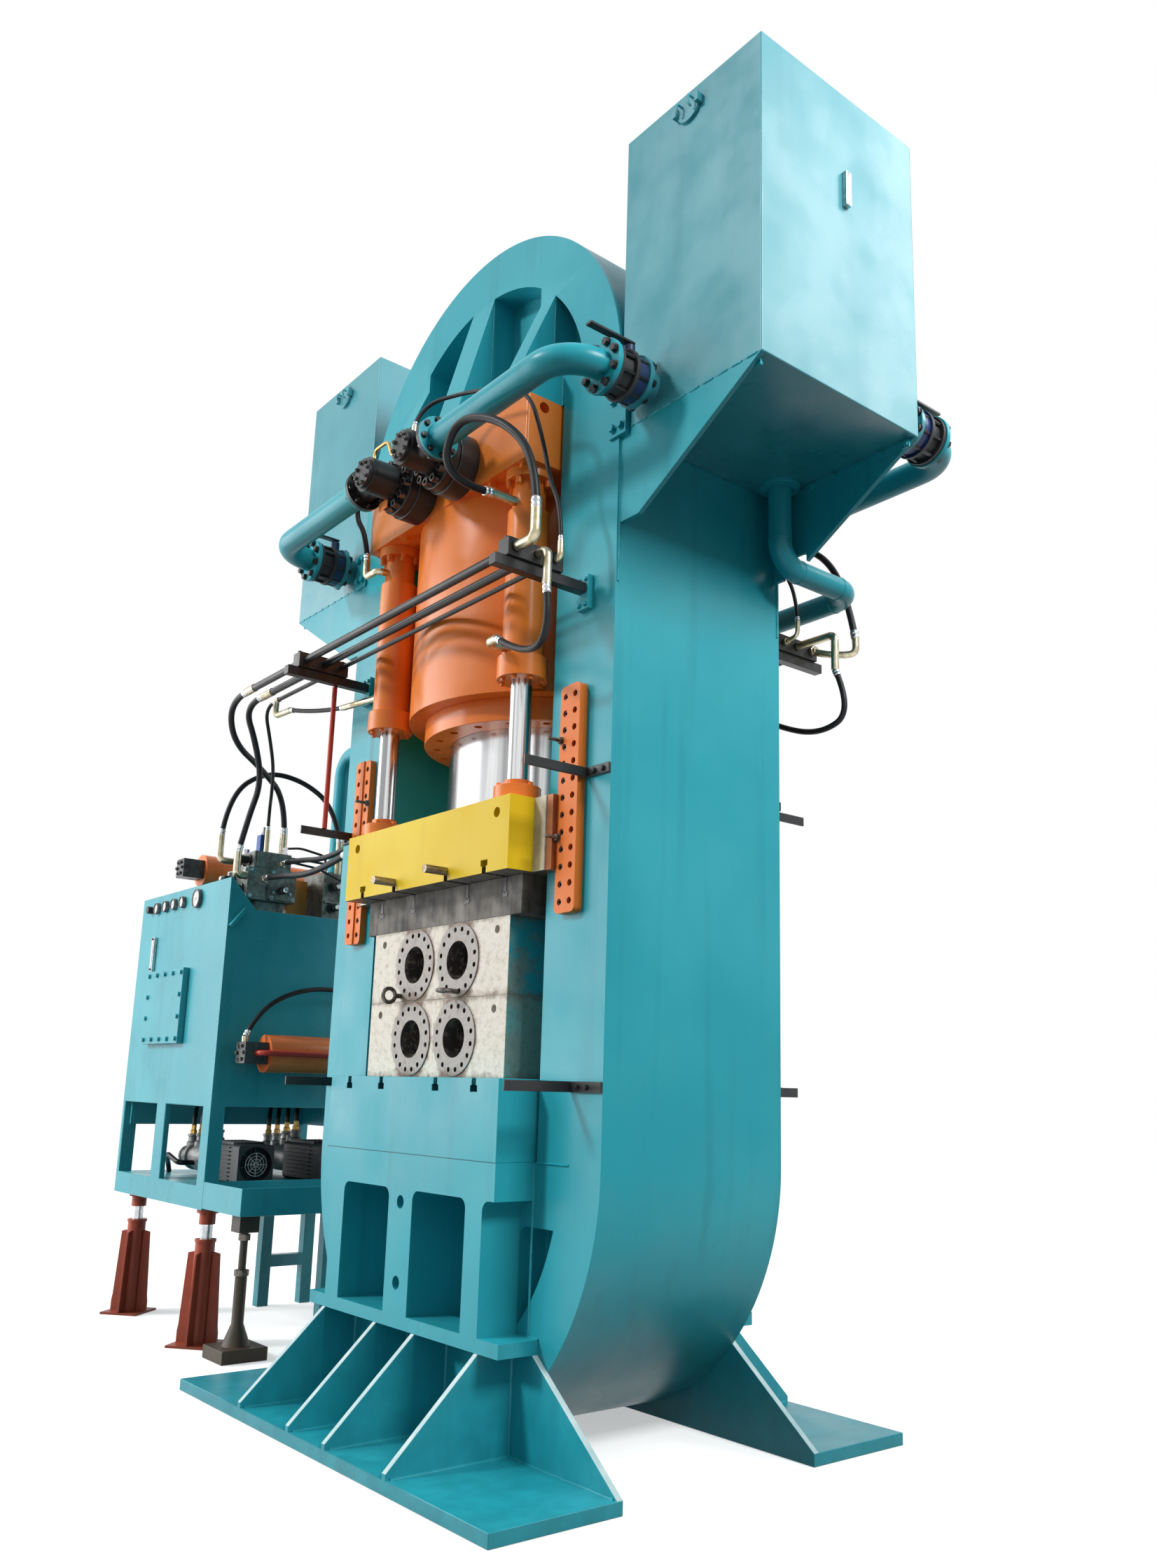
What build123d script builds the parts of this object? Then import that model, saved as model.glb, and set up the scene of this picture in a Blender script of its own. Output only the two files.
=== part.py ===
"""Ring-frame hydraulic press with overhead oil tanks and a separate power unit."""
from build123d import *
import math
import os

os.makedirs("parts", exist_ok=True)

# Driving dimensions in millimetres: the press axis is X = Y = 0, the floor is Z = 0.
# Ring frame: one stadium of thick plate with a straight window and two box beams.
ring_half_width = 1200.0
ring_half_depth = 530.0
ring_floor_gap = 12.0
ring_top_centre_z = 4800.0
window_half_width = 770.0
beam_half_width = 753.0
beam_half_depth = 732.0
centre_rib_half = 104.0
outer_rib_inset = 85.0
outer_rib_width = 128.0
pocket_radius = 935.0
pocket_depth = 135.0
pocket_corner = 45.0
upper_beam_height = 165.0
centre_rib_rise = 760.0
outer_rib_rise = 493.0
lower_beam_top = 1225.0
lower_beam_cap = 157.0
outer_pocket_top = 960.0
flange_top = 524.0
flange_thick = 58.0
flange_half_width = 824.0
rib_hole_radius = 30.0
rib_hole_depth = 60.0
rib_hole_upper_z = 1010.0
rib_hole_lower_z = 658.0
cut_overrun = 20.0

# Foot plates with one long web and four gussets each, front and rear.
foot_half_length = 1382.0
foot_reach = 1134.0
foot_thick = 54.0
foot_web_thick = 30.0
gusset_thick = 30.0
gusset_inner_x = 169.0
gusset_outer_x = 669.0
gusset_toe = 24.0

# Bolster table and the slots for clamping bolts.
table_height = 349.0
slot_inner_x = 246.0
slot_outer_x = 560.0
slot_neck = 30.0
slot_neck_depth = 32.0
slot_tee = 54.0
slot_tee_depth = 28.0

# Die set: two blocks with two flanged cross bores each.
die_half = 609.0
lower_die_height = 365.0
upper_die_height = 359.0
die_gap = 0.3
die_bore_x = 195.0
die_bore_radius = 92.0
die_ring_radius = 177.0
die_ring_rise = 6.0
die_bolt_circle = 148.0
die_bolt_count = 16
die_bolt_radius = 12.0
die_bolt_depth = 45.0
hole_phase_share = 0.5
corner_hole_x = 510.0
corner_hole_drop = 58.0
corner_hole_radius = 19.0
corner_hole_depth = 90.0
key_slot_half_width = 75.0
key_slot_depth = 22.0
eye_left_x = -316.0
eye_right_x = 211.0
eye_rise = 31.0
eye_shank_radius = 12.0
eye_shank = 34.0
eye_ring_radius = 34.0
eye_bar_radius = 10.0

# Slide, spacer plate, wings and guide faces.
spacer_half_width = 692.0
spacer_height = 180.0
slide_half_width = 746.0
slide_height = 341.0
slide_hole_x = 645.0
slide_hole_drop = 72.0
slide_hole_radius = 24.0
slide_hole_depth = 140.0
bar_x = 240.0
bar_rise = 45.0
bar_radius = 20.0
bar_out = 118.0
bar_in = 260.0
wing_reach = 84.0
wing_front = 597.0
running_gap = 0.4
wing_gap = 3.0
liner_setback = 7.0
guide_inner_x = 875.0
guide_width = 149.0
guide_thick = 43.0
guide_low_z = 2280.0
guide_height = 1035.0
guide_corner = 26.0
guide_step = 8.0
guide_step_width = 66.0
guide_hole_radius = 15.0
guide_hole_depth = 26.0
guide_hole_rows = 13
guide_hole_edge = 50.0
guide_hole_inset = 35.0
stroke = 440.0

# Main cylinder, gland and ram.
head_height = 342.0
head_corner = 12.0
lift_hole_inset = 98.0
lift_hole_drop = 50.0
lift_hole_radius = 28.0
lift_hole_depth = 90.0
barrel_inset = 4.0
barrel_length = 1058.0
barrel_wall = 203.0
bore_length = 1180.0
gland_inset = 86.0
gland_height = 117.0
gland_bolt_inset = 64.0
gland_bolt_count = 20
gland_bolt_radius = 21.0
gland_bolt_depth = 55.0
bush_wall = 20.0
ram_length = 1190.0
shaft_clearance = 0.05
bush_length = 300.0
fit_gap = 0.3

# Return cylinders at the four corners.
return_side_inset = 140.0
return_inset = 129.0
return_flange_radius = 117.0
return_flange_height = 50.0
return_neck_radius = 82.0
return_neck_length = 156.0
return_tube_radius = 100.0
return_tube_length = 742.0
return_bore_radius = 75.0
return_bore_length = 700.0
return_gland_radius = 120.0
return_gland_height = 108.0
return_rod_radius = 53.0
piston_length = 80.0
piston_lift = 45.0
rod_flange_radius = 110.0
rod_flange_height = 66.0
rod_collar_radius = 64.0
rod_collar_height = 30.0
flange_bolt_circle = 100.0
flange_bolt_count = 8
flange_bolt_radius = 14.0
flange_bolt_height = 36.0

# Prefill valves, suction pipes and shut-off valves.
prefill_x = 190.0
suction_z = 4610.0
prefill_body_radius = 165.0
prefill_body_length = 108.0
prefill_ring_radius = 155.0
prefill_ring_length = 50.0
prefill_house_radius = 92.0
prefill_house_length = 185.0
prefill_cap_radius = 78.0
prefill_cap_length = 21.0
port_radius = 66.5
port_flange_x = 366.0
port_flange_radius = 108.0
port_flange_thick = 20.0
suction_y = 990.0
suction_radius = 66.5
suction_bend = 190.0
shutoff_offset = 185.0
rear_shutoff_offset = 735.0
pipe_end_y = 770.0
pipe_flange_radius = 125.0
pipe_flange_thick = 24.0
joint_length = 106.0
joint_rim = 20.0
joint_rim_radius = 118.0
joint_waist_radius = 94.0
shutoff_length = 56.0
shutoff_radius = 105.0
shutoff_bore = 62.5
stem_radius = 9.0
stem_boss_radius = 26.0
stem_boss_height = 160.0
lever_lift = 10.0
lever_length = 235.0
lever_width = 38.0
lever_thick = 12.0
disc_gap = 1.5
disc_thick = 12.0

# Overhead tanks on side brackets.
tank_width = 877.0
tank_half_depth = 517.0
tank_low_z = 4476.0
tank_height = 1535.0
tank_wall = 8.0
stub_radius = 76.0
stub_flange_radius = 118.0
stub_flange_thick = 24.0
bracket_thick = 24.0
bracket_drop = 446.0
bracket_foot = 130.0
lug_width = 58.0
lug_thick = 14.0
lug_height = 224.0
lug_drop = 28.0
cover_offset = 432.0
cover_drop = 95.0
cover_radius = 72.0
cover_thick = 16.0
hook_width = 22.0
hook_height = 46.0
hook_depth = 34.0
gauge_y = 24.0
gauge_low_z = 5417.0
gauge_height = 172.0
gauge_width = 36.0
gauge_depth = 24.0

# Balance pipe behind the frame and the feed pipe to the power unit.
balance_offset = 140.0
balance_y = 390.0
balance_low_z = 4053.0
balance_back_y = 945.0
balance_radius = 57.0
balance_bend = 130.0
balance_flange_radius = 98.0
balance_flange_thick = 24.0
balance_notch_gap = 20.0
feed_offset = 300.0
feed_y = 149.0
feed_z = 3790.0
feed_left_x = -2610.0
feed_radius = 55.0
feed_bend = 150.0

# Brackets on the columns: pipe arms, clamps, guard arms and the red rod.
arm_x = 1000.0
arm_foot_width = 80.0
arm_foot_thick = 30.0
arm_foot_low_z = 3660.0
arm_foot_height = 165.0
arm_size = 50.0
arm_z = 3760.0
arm_reach = 1057.0
clamp_width = 80.0
clamp_margin = 45.0
clamp_height = 85.0
pipe_z = 3830.0
pipe_outer_y = 957.0
pipe_middle_y = 844.0
pipe_inner_y = 747.0
pipe_outer_radius = 21.0
pipe_inner_radius = 12.5
pipe_left_x = -1640.0
pipe_right_x = 1046.0
inner_pipe_left_x = -1760.0
guard_upper_z = 2893.0
guard_lower_z = 1545.0
guard_upper_x = 1038.0
guard_lower_x = 985.0
guard_height = 45.0
guard_thick = 12.0
guard_reach = 875.0
rod_x = -1034.0
rod_y = 740.0
rod_radius = 14.0

# Power unit cabinet on stands.
unit_left = -3850.0
unit_right = -2310.0
unit_front = 720.0
unit_back = 680.0
unit_low_z = 775.0
unit_top_z = 2603.0
console_top_z = 2794.0
console_flat = 12.0
console_depth = 182.0
bay_floor_z = 909.0
bay_top_z = 1378.0
bay_wall = 38.0
window_left_end = -3204.0
window_right_start = -3050.0
window_right_end = -2430.0
side_post = 93.0
unit_wall = 8.0
access_left = -3496.0
access_right = -2865.0
access_low_z = 1764.0
access_high_z = 2253.0
access_thick = 40.0
panel_z = 2705.0
small_gauges_x = (-3540.0, -3383.0, -3228.0, -3074.0)
small_gauge_radius = 40.0
large_gauge_x = -2818.0
large_gauge_radius = 64.0
panel_gauge_depth = 26.0
unit_gauge_x = -3531.0
unit_gauge_low_z = 2266.0
unit_gauge_height = 234.0
unit_gauge_width = 50.0
unit_gauge_depth = 22.0
knob_x = -3664.0
knob_radius = 26.0
knob_length = 38.0

# Motors, pumps and the drip tray.
motor_front_y = -359.0
motor_rear_y = 190.0
motor_half = 118.0
motor_right_x = -2400.0
motor_length = 520.0
motor_corner = 22.0
fan_recess = 70.0
fan_recess_radius = 106.0
fan_radius = 98.0
fan_hub_radius = 34.0
fan_thick = 30.0
fan_blade_thick = 6.0
fan_blade_count = 7
fan_back_gap = 14.0
fan_shaft_radius = 12.0
pump_radius = 92.0
pump_length = 300.0
pump_port_radius = 34.0
pump_port_rise = 150.0
tray_right = -1758.0
tray_back = 420.0
tray_low_z = 785.0
tray_top_z = 939.0
tray_wall = 10.0

# Valve manifold on the cabinet.
stand_left = -2690.0
stand_right = -2500.0
stand_front = -470.0
stand_back = -270.0
block_left = -2740.0
block_right = -2440.0
block_front = -560.0
block_back = -220.0
block_low_z = 2690.0
block_top_z = 2900.0
upper_front = -520.0
upper_back = -265.0
upper_top_z = 3010.0
rear_front = -20.0
rear_back = 260.0
rear_top_z = 2930.0
filter_left = -2780.0
filter_right = -2620.0
filter_front = -190.0
filter_back = -50.0
filter_top_z = 2880.0

# Accumulators with bolted end blocks.
low_acc_x = -2150.0
low_acc_z = 1704.0
high_acc_x = -3457.0
high_acc_z = 3000.0
acc_radius = 115.0
acc_front = -479.0
acc_length = 950.0
acc_dome_share = 0.5
end_block_half = 66.0
end_block_length = 152.0
acc_pipe_radius = 17.0
acc_pipe_gap = 12.0
acc_pipe_bend = 60.0
acc_pipe_return = 90.0
saddle_thick = 40.0
saddle_first = 180.0
saddle_pitch = 560.0
saddle_wrap_share = 0.55

# Stands under the power unit.
stand_front_x = -2400.0
stand_front_y = -640.0
stand_left_x = -3680.0
stand_left_y = -600.0
stand_base = 260.0
stand_base_thick = 14.0
stand_turn = 40.0
stand_tube_radius = 58.0
stand_tube_top = 600.0
fin_top = 512.0
fin_thick = 14.0
fin_foot_height = 60.0
post_radius = 36.0
post_collar_radius = 44.0
post_collar_height = 60.0
jack_x = -1920.0
jack_y = -610.0
jack_base_half = 135.0
jack_base_height = 72.0
jack_cone_radius = 80.0
jack_cone_top = 190.0
jack_tube_radius = 34.0
jack_tube_top = 475.0
jack_screw_radius = 22.0
jack_head_half = 60.0
jack_head_height = 100.0
trestle_left = -3500.0
trestle_right = -2500.0
trestle_front = 200.0
trestle_back = 600.0
trestle_beam = 80.0
trestle_rail_z = 260.0

# Free hoses: diameter, then the corner points of each route; routes off the lift cylinders follow below.
hose_right_upper_size = 38.0
hose_right_lower_size = 32.0
pilot_hose_size = 20.0
pilot_hose_route = [(190, -1020, 4740), (192, -985, 4870), (430, -890, 4872), (680, -868, 4790),
                    (905, -835, 4690), (955, -785, 4460), (985, -755, 4240), (1070, -749, 4070),
                    (1076, -747, 3910)]
hose_left_upper_size = 30.0
hose_left_lower_size = 26.0
hose_left_lower_route = [(-1607, -735, 3731), (-1330, -697, 3660), (-1057, -660, 3640)]
supply_hose_a_size = 38.0
supply_hose_a_route = [(-1750, -957, 3830), (-1998, -960, 3824), (-2012, -915, 3580), (-2270, -600, 3510),
                       (-2485, -325, 3395), (-2522, -296, 3155)]
supply_hose_b_size = 38.0
supply_hose_b_route = [(-1772, -844, 3830), (-2020, -858, 3826), (-2005, -765, 3590), (-2120, -660, 3380),
                       (-2410, -600, 3220), (-2475, -622, 2990)]
supply_hose_thin_size = 22.0
supply_hose_thin_route = [(-1815, -747, 3830), (-1970, -745, 3824), (-1950, -700, 3620), (-2040, -622, 3470),
                          (-2200, -550, 3335), (-2420, -458, 3295), (-2482, -430, 3165)]
manifold_hose_size = 34.0
manifold_hose_route = [(-2640, -678, 3112), (-2638, -650, 3398), (-2610, -420, 3592), (-2575, -150, 3560),
                       (-2515, 60, 3392), (-2490, 100, 3155)]
rear_hose_size = 30.0
accumulator_hose_size = 30.0
accumulator_hose_route = [(-2170, -600, 1805), (-2180, -520, 1962), (-2195, -300, 2095), (-2215, -30, 2140),
                          (-2235, 238, 2108)]
hose_bend_share = 0.45
end_run_share = 0.98
mid_run_share = 0.49
fitting_wall = 5.0
fitting_bend = 34.0
fitting_bite = 4.0
fitting_nose = 60.0
fitting_rise = 95.0

# Places and heights that follow from the frame and the stack of pieces.
return_x = beam_half_width - return_side_inset
return_y = beam_half_depth - return_inset
lift_hole_y = beam_half_depth - lift_hole_inset
barrel_radius = beam_half_depth - barrel_inset
bore_radius = barrel_radius - barrel_wall
ram_radius = bore_radius - bush_wall
gland_radius = barrel_radius - gland_inset
gland_bolt_circle = gland_radius - gland_bolt_inset
outer_rib_outside = beam_half_width - outer_rib_inset
outer_rib_inside = outer_rib_outside - outer_rib_width
shutoff_x = ring_half_width + shutoff_offset
rear_shutoff_x = ring_half_width + rear_shutoff_offset
cover_x = ring_half_width + cover_offset
balance_x = ring_half_width + balance_offset
feed_x = -ring_half_width - feed_offset
ring_low_centre_z = ring_floor_gap + ring_half_width
table_top_z = lower_beam_top + table_height
lower_die_top_z = table_top_z + lower_die_height
upper_die_low_z = lower_die_top_z + die_gap
upper_die_top_z = upper_die_low_z + upper_die_height
slide_low_z = upper_die_top_z + spacer_height
slide_top_z = slide_low_z + slide_height
head_low_z = ring_top_centre_z - head_height
barrel_low_z = head_low_z - barrel_length
gland_low_z = barrel_low_z - gland_height
upper_beam_top = ring_top_centre_z + upper_beam_height
tank_top_z = tank_low_z + tank_height
flange_low_z = flange_top - flange_thick
motor_z = bay_floor_z + motor_half
hose_right_upper_route = [(return_x + 4, -return_y - 217, 4290), (return_x + 12, -return_y - 502, 4252),
                          (return_x + 77, -return_y - 502, 4530), (975, -return_y - 442, 4450),
                          (1165, -962, 4215), (1172, -957, 3964)]
hose_right_lower_route = [(return_x + 79, -return_y - 202, 3542), (return_x + 317, -return_y - 212, 3395),
                          (1140, -835, 3430), (1112, -844, 3665)]
hose_left_upper_route = [(-return_x - 132, -return_y - 142, 4412), (-return_x - 125, -return_y - 162, 4560),
                         (-return_x - 182, -return_y - 212, 4680), (-return_x - 122, -return_y - 222, 4790)]
rear_hose_route = [(1290, 850, 3640), (1400, 850, 3400), (1190, 842, 3318), (return_x + 302, return_y + 217, 3412),
                   (return_x + 79, return_y + 202, 3542)]

nodes = {}


def block(x0, x1, y0, y1, z0, z1):
    """Rectangular block between two corners."""
    return Pos((x0 + x1) / 2, (y0 + y1) / 2, (z0 + z1) / 2) * Box(abs(x1 - x0), abs(y1 - y0), abs(z1 - z0))


def rod_on_z(x, y, z0, z1, radius):
    """Round bar standing on Z."""
    return Pos(x, y, (z0 + z1) / 2) * Cylinder(radius, abs(z1 - z0))


def rod_on_y(x, z, y0, y1, radius):
    """Round bar lying along Y."""
    return Pos(x, (y0 + y1) / 2, z) * Rot(90, 0, 0) * Cylinder(radius, abs(y1 - y0))


def rod_on_x(y, z, x0, x1, radius):
    """Round bar lying along X."""
    return Pos((x0 + x1) / 2, y, z) * Rot(0, 90, 0) * Cylinder(radius, abs(x1 - x0))


def turned(points):
    """Solid of revolution about Z from (radius, height) points."""
    profile = make_face(Polyline(*[(r, 0, z) for r, z in points], close=True))
    return revolve(profile, Axis.Z)


def plate_yz(points, x0, x1):
    """Plate of a (y, z) outline between two X faces."""
    face = make_face(Polyline(*[(x0, y, z) for y, z in points], close=True))
    return extrude(face, amount=x1 - x0, dir=(1, 0, 0))


def plate_xz(points, y0, y1):
    """Plate of an (x, z) outline between two Y faces."""
    face = make_face(Polyline(*[(x, y0, z) for x, z in points], close=True))
    return extrude(face, amount=y1 - y0, dir=(0, 1, 0))


def pipe_along(points, radius, bend):
    """Round pipe along straight runs, with bends of one radius or as large as a short run allows."""
    corners = [Vector(*p) for p in points]
    if len(points) == 2:
        path = Line(*points)
    else:
        lengths = [(b - a).length for a, b in zip(corners, corners[1:])]
        rooms = [room * (end_run_share if i in (0, len(lengths) - 1) else mid_run_share)
                 for i, room in enumerate(lengths)]
        radii = []
        for i in range(len(lengths) - 1):
            half_turn = math.radians((corners[i + 1] - corners[i]).get_angle(corners[i + 2] - corners[i + 1])) / 2
            radii.append(min(bend, min(rooms[i], rooms[i + 1]) / math.tan(half_turn)))
        path = FilletPolyline(*points, radius=radii)
    return sweep(Plane(origin=path @ 0, z_dir=path % 0) * Circle(radius), path=path)


def flip_x(shape):
    """Copy mirrored to the other side of the press."""
    return mirror(shape, about=Plane.YZ)


def flip_y(shape):
    """Copy mirrored to the other face of the press."""
    return mirror(shape, about=Plane.XZ)


def four(shape):
    """The shape at all four corners as separate solids."""
    return [shape, flip_x(shape), flip_y(shape), flip_x(flip_y(shape))]


def hose(size, route):
    """Free hose: straight runs with tangent arcs as large as the runs allow."""
    radii = []
    points = [Vector(*p) for p in route]
    for before, corner, after in zip(points, points[1:], points[2:]):
        first = corner - before
        second = after - corner
        half_turn = math.radians(first.get_angle(second)) / 2
        radii.append(hose_bend_share * min(first.length, second.length) / math.tan(half_turn))
    path = FilletPolyline(*points, radius=radii)
    print("hose size", size, "radii", [round(r) for r in radii])
    return sweep(Plane(origin=path @ 0, z_dir=path % 0) * Circle(size / 2), path=path)


def add(name, *shapes):
    """File one node as one solid or as a group of separate solids."""
    solids = []
    for shape in shapes:
        for item in shape if isinstance(shape, list) else [shape]:
            solids.extend(item.solids())
    nodes[name] = solids


# Ring frame: stadium plate, window, recessed pockets and ribbed beams on both faces.
mid_z = (ring_low_centre_z + ring_top_centre_z) / 2
stadium = Rot(0, 0, 90) * SlotCenterToCenter(ring_top_centre_z - ring_low_centre_z, 2 * ring_half_width)
ring = extrude(Plane.XZ * (Pos(0, mid_z) * stadium), amount=ring_half_depth, both=True)
ring -= block(-window_half_width, window_half_width, -ring_half_depth - cut_overrun,
              ring_half_depth + cut_overrun, lower_beam_top, ring_top_centre_z)


def pocket(x0, x1, z0, z1, centre_z, corners_low):
    """Recess in the ring's front face, bounded by the pocket arc and rounded in its square corners."""
    sketch = Pos((x0 + x1) / 2, (z0 + z1) / 2) * Rectangle(x1 - x0, z1 - z0)
    ends = sketch.vertices().group_by(Axis.Y)[0 if corners_low else -1]
    sketch = fillet(ends, pocket_corner)
    sketch &= Pos(0, centre_z) * Circle(pocket_radius)
    front = -ring_half_depth + pocket_depth
    return extrude(Plane((0, front, 0), x_dir=(1, 0, 0), z_dir=(0, -1, 0)) * sketch,
                   amount=pocket_depth + cut_overrun)


pockets = [
    pocket(centre_rib_half, outer_rib_inside, upper_beam_top, ring_top_centre_z + pocket_radius,
           ring_top_centre_z, True),
    pocket(outer_rib_outside, pocket_radius, upper_beam_top, ring_top_centre_z + pocket_radius,
           ring_top_centre_z, True),
    pocket(centre_rib_half, outer_rib_inside, ring_low_centre_z - pocket_radius,
           lower_beam_top - lower_beam_cap, ring_low_centre_z, False),
    pocket(outer_rib_outside, pocket_radius, ring_low_centre_z - pocket_radius, outer_pocket_top,
           ring_low_centre_z, False),
]
for recess in pockets:
    for cutter in four(recess):
        ring -= cutter


def rib(x0, x1, rise):
    """Sloping rib that stands on the upper beam and dies out on the ring face."""
    return plate_yz([(-ring_half_depth, upper_beam_top), (-beam_half_depth, upper_beam_top),
                     (-ring_half_depth, upper_beam_top + rise)], x0, x1)


upper_beam = block(-beam_half_width, beam_half_width, -beam_half_depth, -ring_half_depth,
                   ring_top_centre_z, upper_beam_top)
upper_beam += rib(-centre_rib_half, centre_rib_half, centre_rib_rise)
upper_beam += rib(outer_rib_inside, outer_rib_outside, outer_rib_rise)
upper_beam += rib(-outer_rib_outside, -outer_rib_inside, outer_rib_rise)
grid = Pos(0, (flange_top + lower_beam_top) / 2) * Rectangle(2 * beam_half_width, lower_beam_top - flange_top)
cell_top = lower_beam_top - lower_beam_cap
for x0, x1 in ((centre_rib_half, outer_rib_inside), (outer_rib_outside, beam_half_width + cut_overrun)):
    cell = Pos((x0 + x1) / 2, (flange_top + cell_top) / 2) * Rectangle(x1 - x0, cell_top - flange_top)
    corners = cell.vertices().group_by(Axis.Y)[-1]
    if x1 > beam_half_width:
        corners = corners.sort_by(Axis.X)[:1]
    cell = fillet(corners, pocket_corner)
    grid -= cell
    grid -= mirror(cell, about=Plane.YZ)
lower_beam = extrude(Plane((0, -ring_half_depth, 0), x_dir=(1, 0, 0), z_dir=(0, -1, 0)) * grid,
                     amount=beam_half_depth - ring_half_depth)
lower_beam += block(-flange_half_width, flange_half_width, -beam_half_depth, -ring_half_depth,
                    flange_low_z, flange_top)
for hole_z in (rib_hole_upper_z, rib_hole_lower_z):
    lower_beam -= rod_on_y(0, hole_z, -beam_half_depth - cut_overrun, -beam_half_depth + rib_hole_depth,
                           rib_hole_radius)
frame_body = ring + upper_beam + flip_y(upper_beam) + lower_beam + flip_y(lower_beam)
add("press_frame", frame_body)

# Feet: plate, trapezoid web against the ring face and gussets under the flange.
foot = block(-foot_half_length, foot_half_length, -foot_reach, -ring_half_depth, 0, foot_thick)
foot += plate_xz([(-foot_half_length, foot_thick), (foot_half_length, foot_thick),
                  (flange_half_width, flange_low_z), (-flange_half_width, flange_low_z)],
                 -ring_half_depth - foot_web_thick, -ring_half_depth)
for gx in (-gusset_outer_x, -gusset_inner_x, gusset_inner_x, gusset_outer_x):
    foot += plate_yz([(-ring_half_depth, foot_thick), (-foot_reach, foot_thick),
                      (-foot_reach, foot_thick + gusset_toe), (-beam_half_depth, flange_low_z),
                      (-ring_half_depth, flange_low_z)], gx - gusset_thick / 2, gx + gusset_thick / 2)
add("base_feet", foot, flip_y(foot))


def tee_slot(x, face_z, up):
    """Cutter for one clamping slot along Y; up is 1 for a slot in a top face, -1 in an underside."""
    neck_end = face_z - up * slot_neck_depth
    tee_end = neck_end - up * slot_tee_depth
    reach = beam_half_depth + cut_overrun
    neck = block(x - slot_neck / 2, x + slot_neck / 2, -reach, reach, neck_end, face_z + up * cut_overrun)
    return neck + block(x - slot_tee / 2, x + slot_tee / 2, -reach, reach, tee_end, neck_end)


# Bolster table with four slots.
table = block(-beam_half_width, beam_half_width, -beam_half_depth, beam_half_depth, lower_beam_top, table_top_z)
for sx in (-slot_outer_x, -slot_inner_x, slot_inner_x, slot_outer_x):
    table -= tee_slot(sx, table_top_z, 1)
add("bolster_table", table)


def die(z0, z1):
    """Die block with two through bores, raised bolting faces and corner lifting holes."""
    body = block(-die_half, die_half, -die_half, die_half, z0, z1)
    centre_z = (z0 + z1) / 2
    face = die_half + die_ring_rise
    for bx in (-die_bore_x, die_bore_x):
        body += rod_on_y(bx, centre_z, -face, face, die_ring_radius)
    for bx in (-die_bore_x, die_bore_x):
        body -= rod_on_y(bx, centre_z, -face - cut_overrun, face + cut_overrun, die_bore_radius)
        for i in range(die_bolt_count):
            turn = 2 * math.pi * (i + hole_phase_share) / die_bolt_count
            hx = bx + die_bolt_circle * math.cos(turn)
            hz = centre_z + die_bolt_circle * math.sin(turn)
            body -= rod_on_y(hx, hz, -face - cut_overrun, -face + die_bolt_depth, die_bolt_radius)
    for cx in (-corner_hole_x, corner_hole_x):
        body -= rod_on_y(cx, z1 - corner_hole_drop, -die_half - cut_overrun, -die_half + corner_hole_depth,
                         corner_hole_radius)
    return body


lower_die = die(table_top_z, lower_die_top_z)
upper_die = die(upper_die_low_z, upper_die_top_z)
for side in (-1, 1):
    upper_die -= block(side * die_half, side * (die_half - key_slot_depth), -key_slot_half_width,
                       key_slot_half_width, upper_die_low_z - cut_overrun, upper_die_top_z + cut_overrun)
add("lower_die", lower_die)
add("upper_die", upper_die)


def eye_bolt(x, root, turn):
    """Lifting eye on the upper die's front face; turn sets the ring about its shank."""
    ring_y = root - eye_shank - eye_ring_radius
    shank = rod_on_y(x, upper_die_low_z + eye_rise, ring_y + eye_ring_radius, root, eye_shank_radius)
    ring_shape = Pos(x, ring_y, upper_die_low_z + eye_rise) * Rot(0, turn, 0) * Torus(eye_ring_radius, eye_bar_radius)
    return shank + ring_shape


add("eye_bolts", eye_bolt(eye_left_x, -die_half, 90), eye_bolt(eye_right_x, -die_half - die_ring_rise, 0))

# Spacer plate, slide with wings, slide bars.
add("spacer_plate", block(-spacer_half_width, spacer_half_width, -die_half, die_half, upper_die_top_z, slide_low_z))
slide = block(-slide_half_width, slide_half_width, -beam_half_depth, beam_half_depth, slide_low_z, slide_top_z)
wing_outer_x = slide_half_width + wing_reach
wing_back = ring_half_depth + wing_gap
for wing in four(block(slide_half_width, wing_outer_x, -wing_front, -wing_back, slide_low_z, slide_top_z)):
    slide += wing
for sx in (-slot_outer_x, slot_outer_x):
    slide -= tee_slot(sx, slide_low_z, -1)
for hx in (-slide_hole_x, slide_hole_x):
    slide -= rod_on_y(hx, slide_top_z - slide_hole_drop, -beam_half_depth - cut_overrun,
                      -beam_half_depth + slide_hole_depth, slide_hole_radius)
bar_z = slide_low_z + bar_rise
bars = []
for bx in (-bar_x, bar_x):
    slide -= rod_on_y(bx, bar_z, -beam_half_depth - cut_overrun, -beam_half_depth + bar_in, bar_radius + fit_gap)
    slide -= block(bx - slot_neck / 2, bx + slot_neck / 2, -beam_half_depth - cut_overrun, -beam_half_depth + bar_in,
                   slide_low_z - cut_overrun, bar_z)
    bars.append(rod_on_y(bx, bar_z, -beam_half_depth - bar_out, -beam_half_depth + bar_in, bar_radius))
add("slide", slide)
add("slide_bars", bars)

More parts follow.
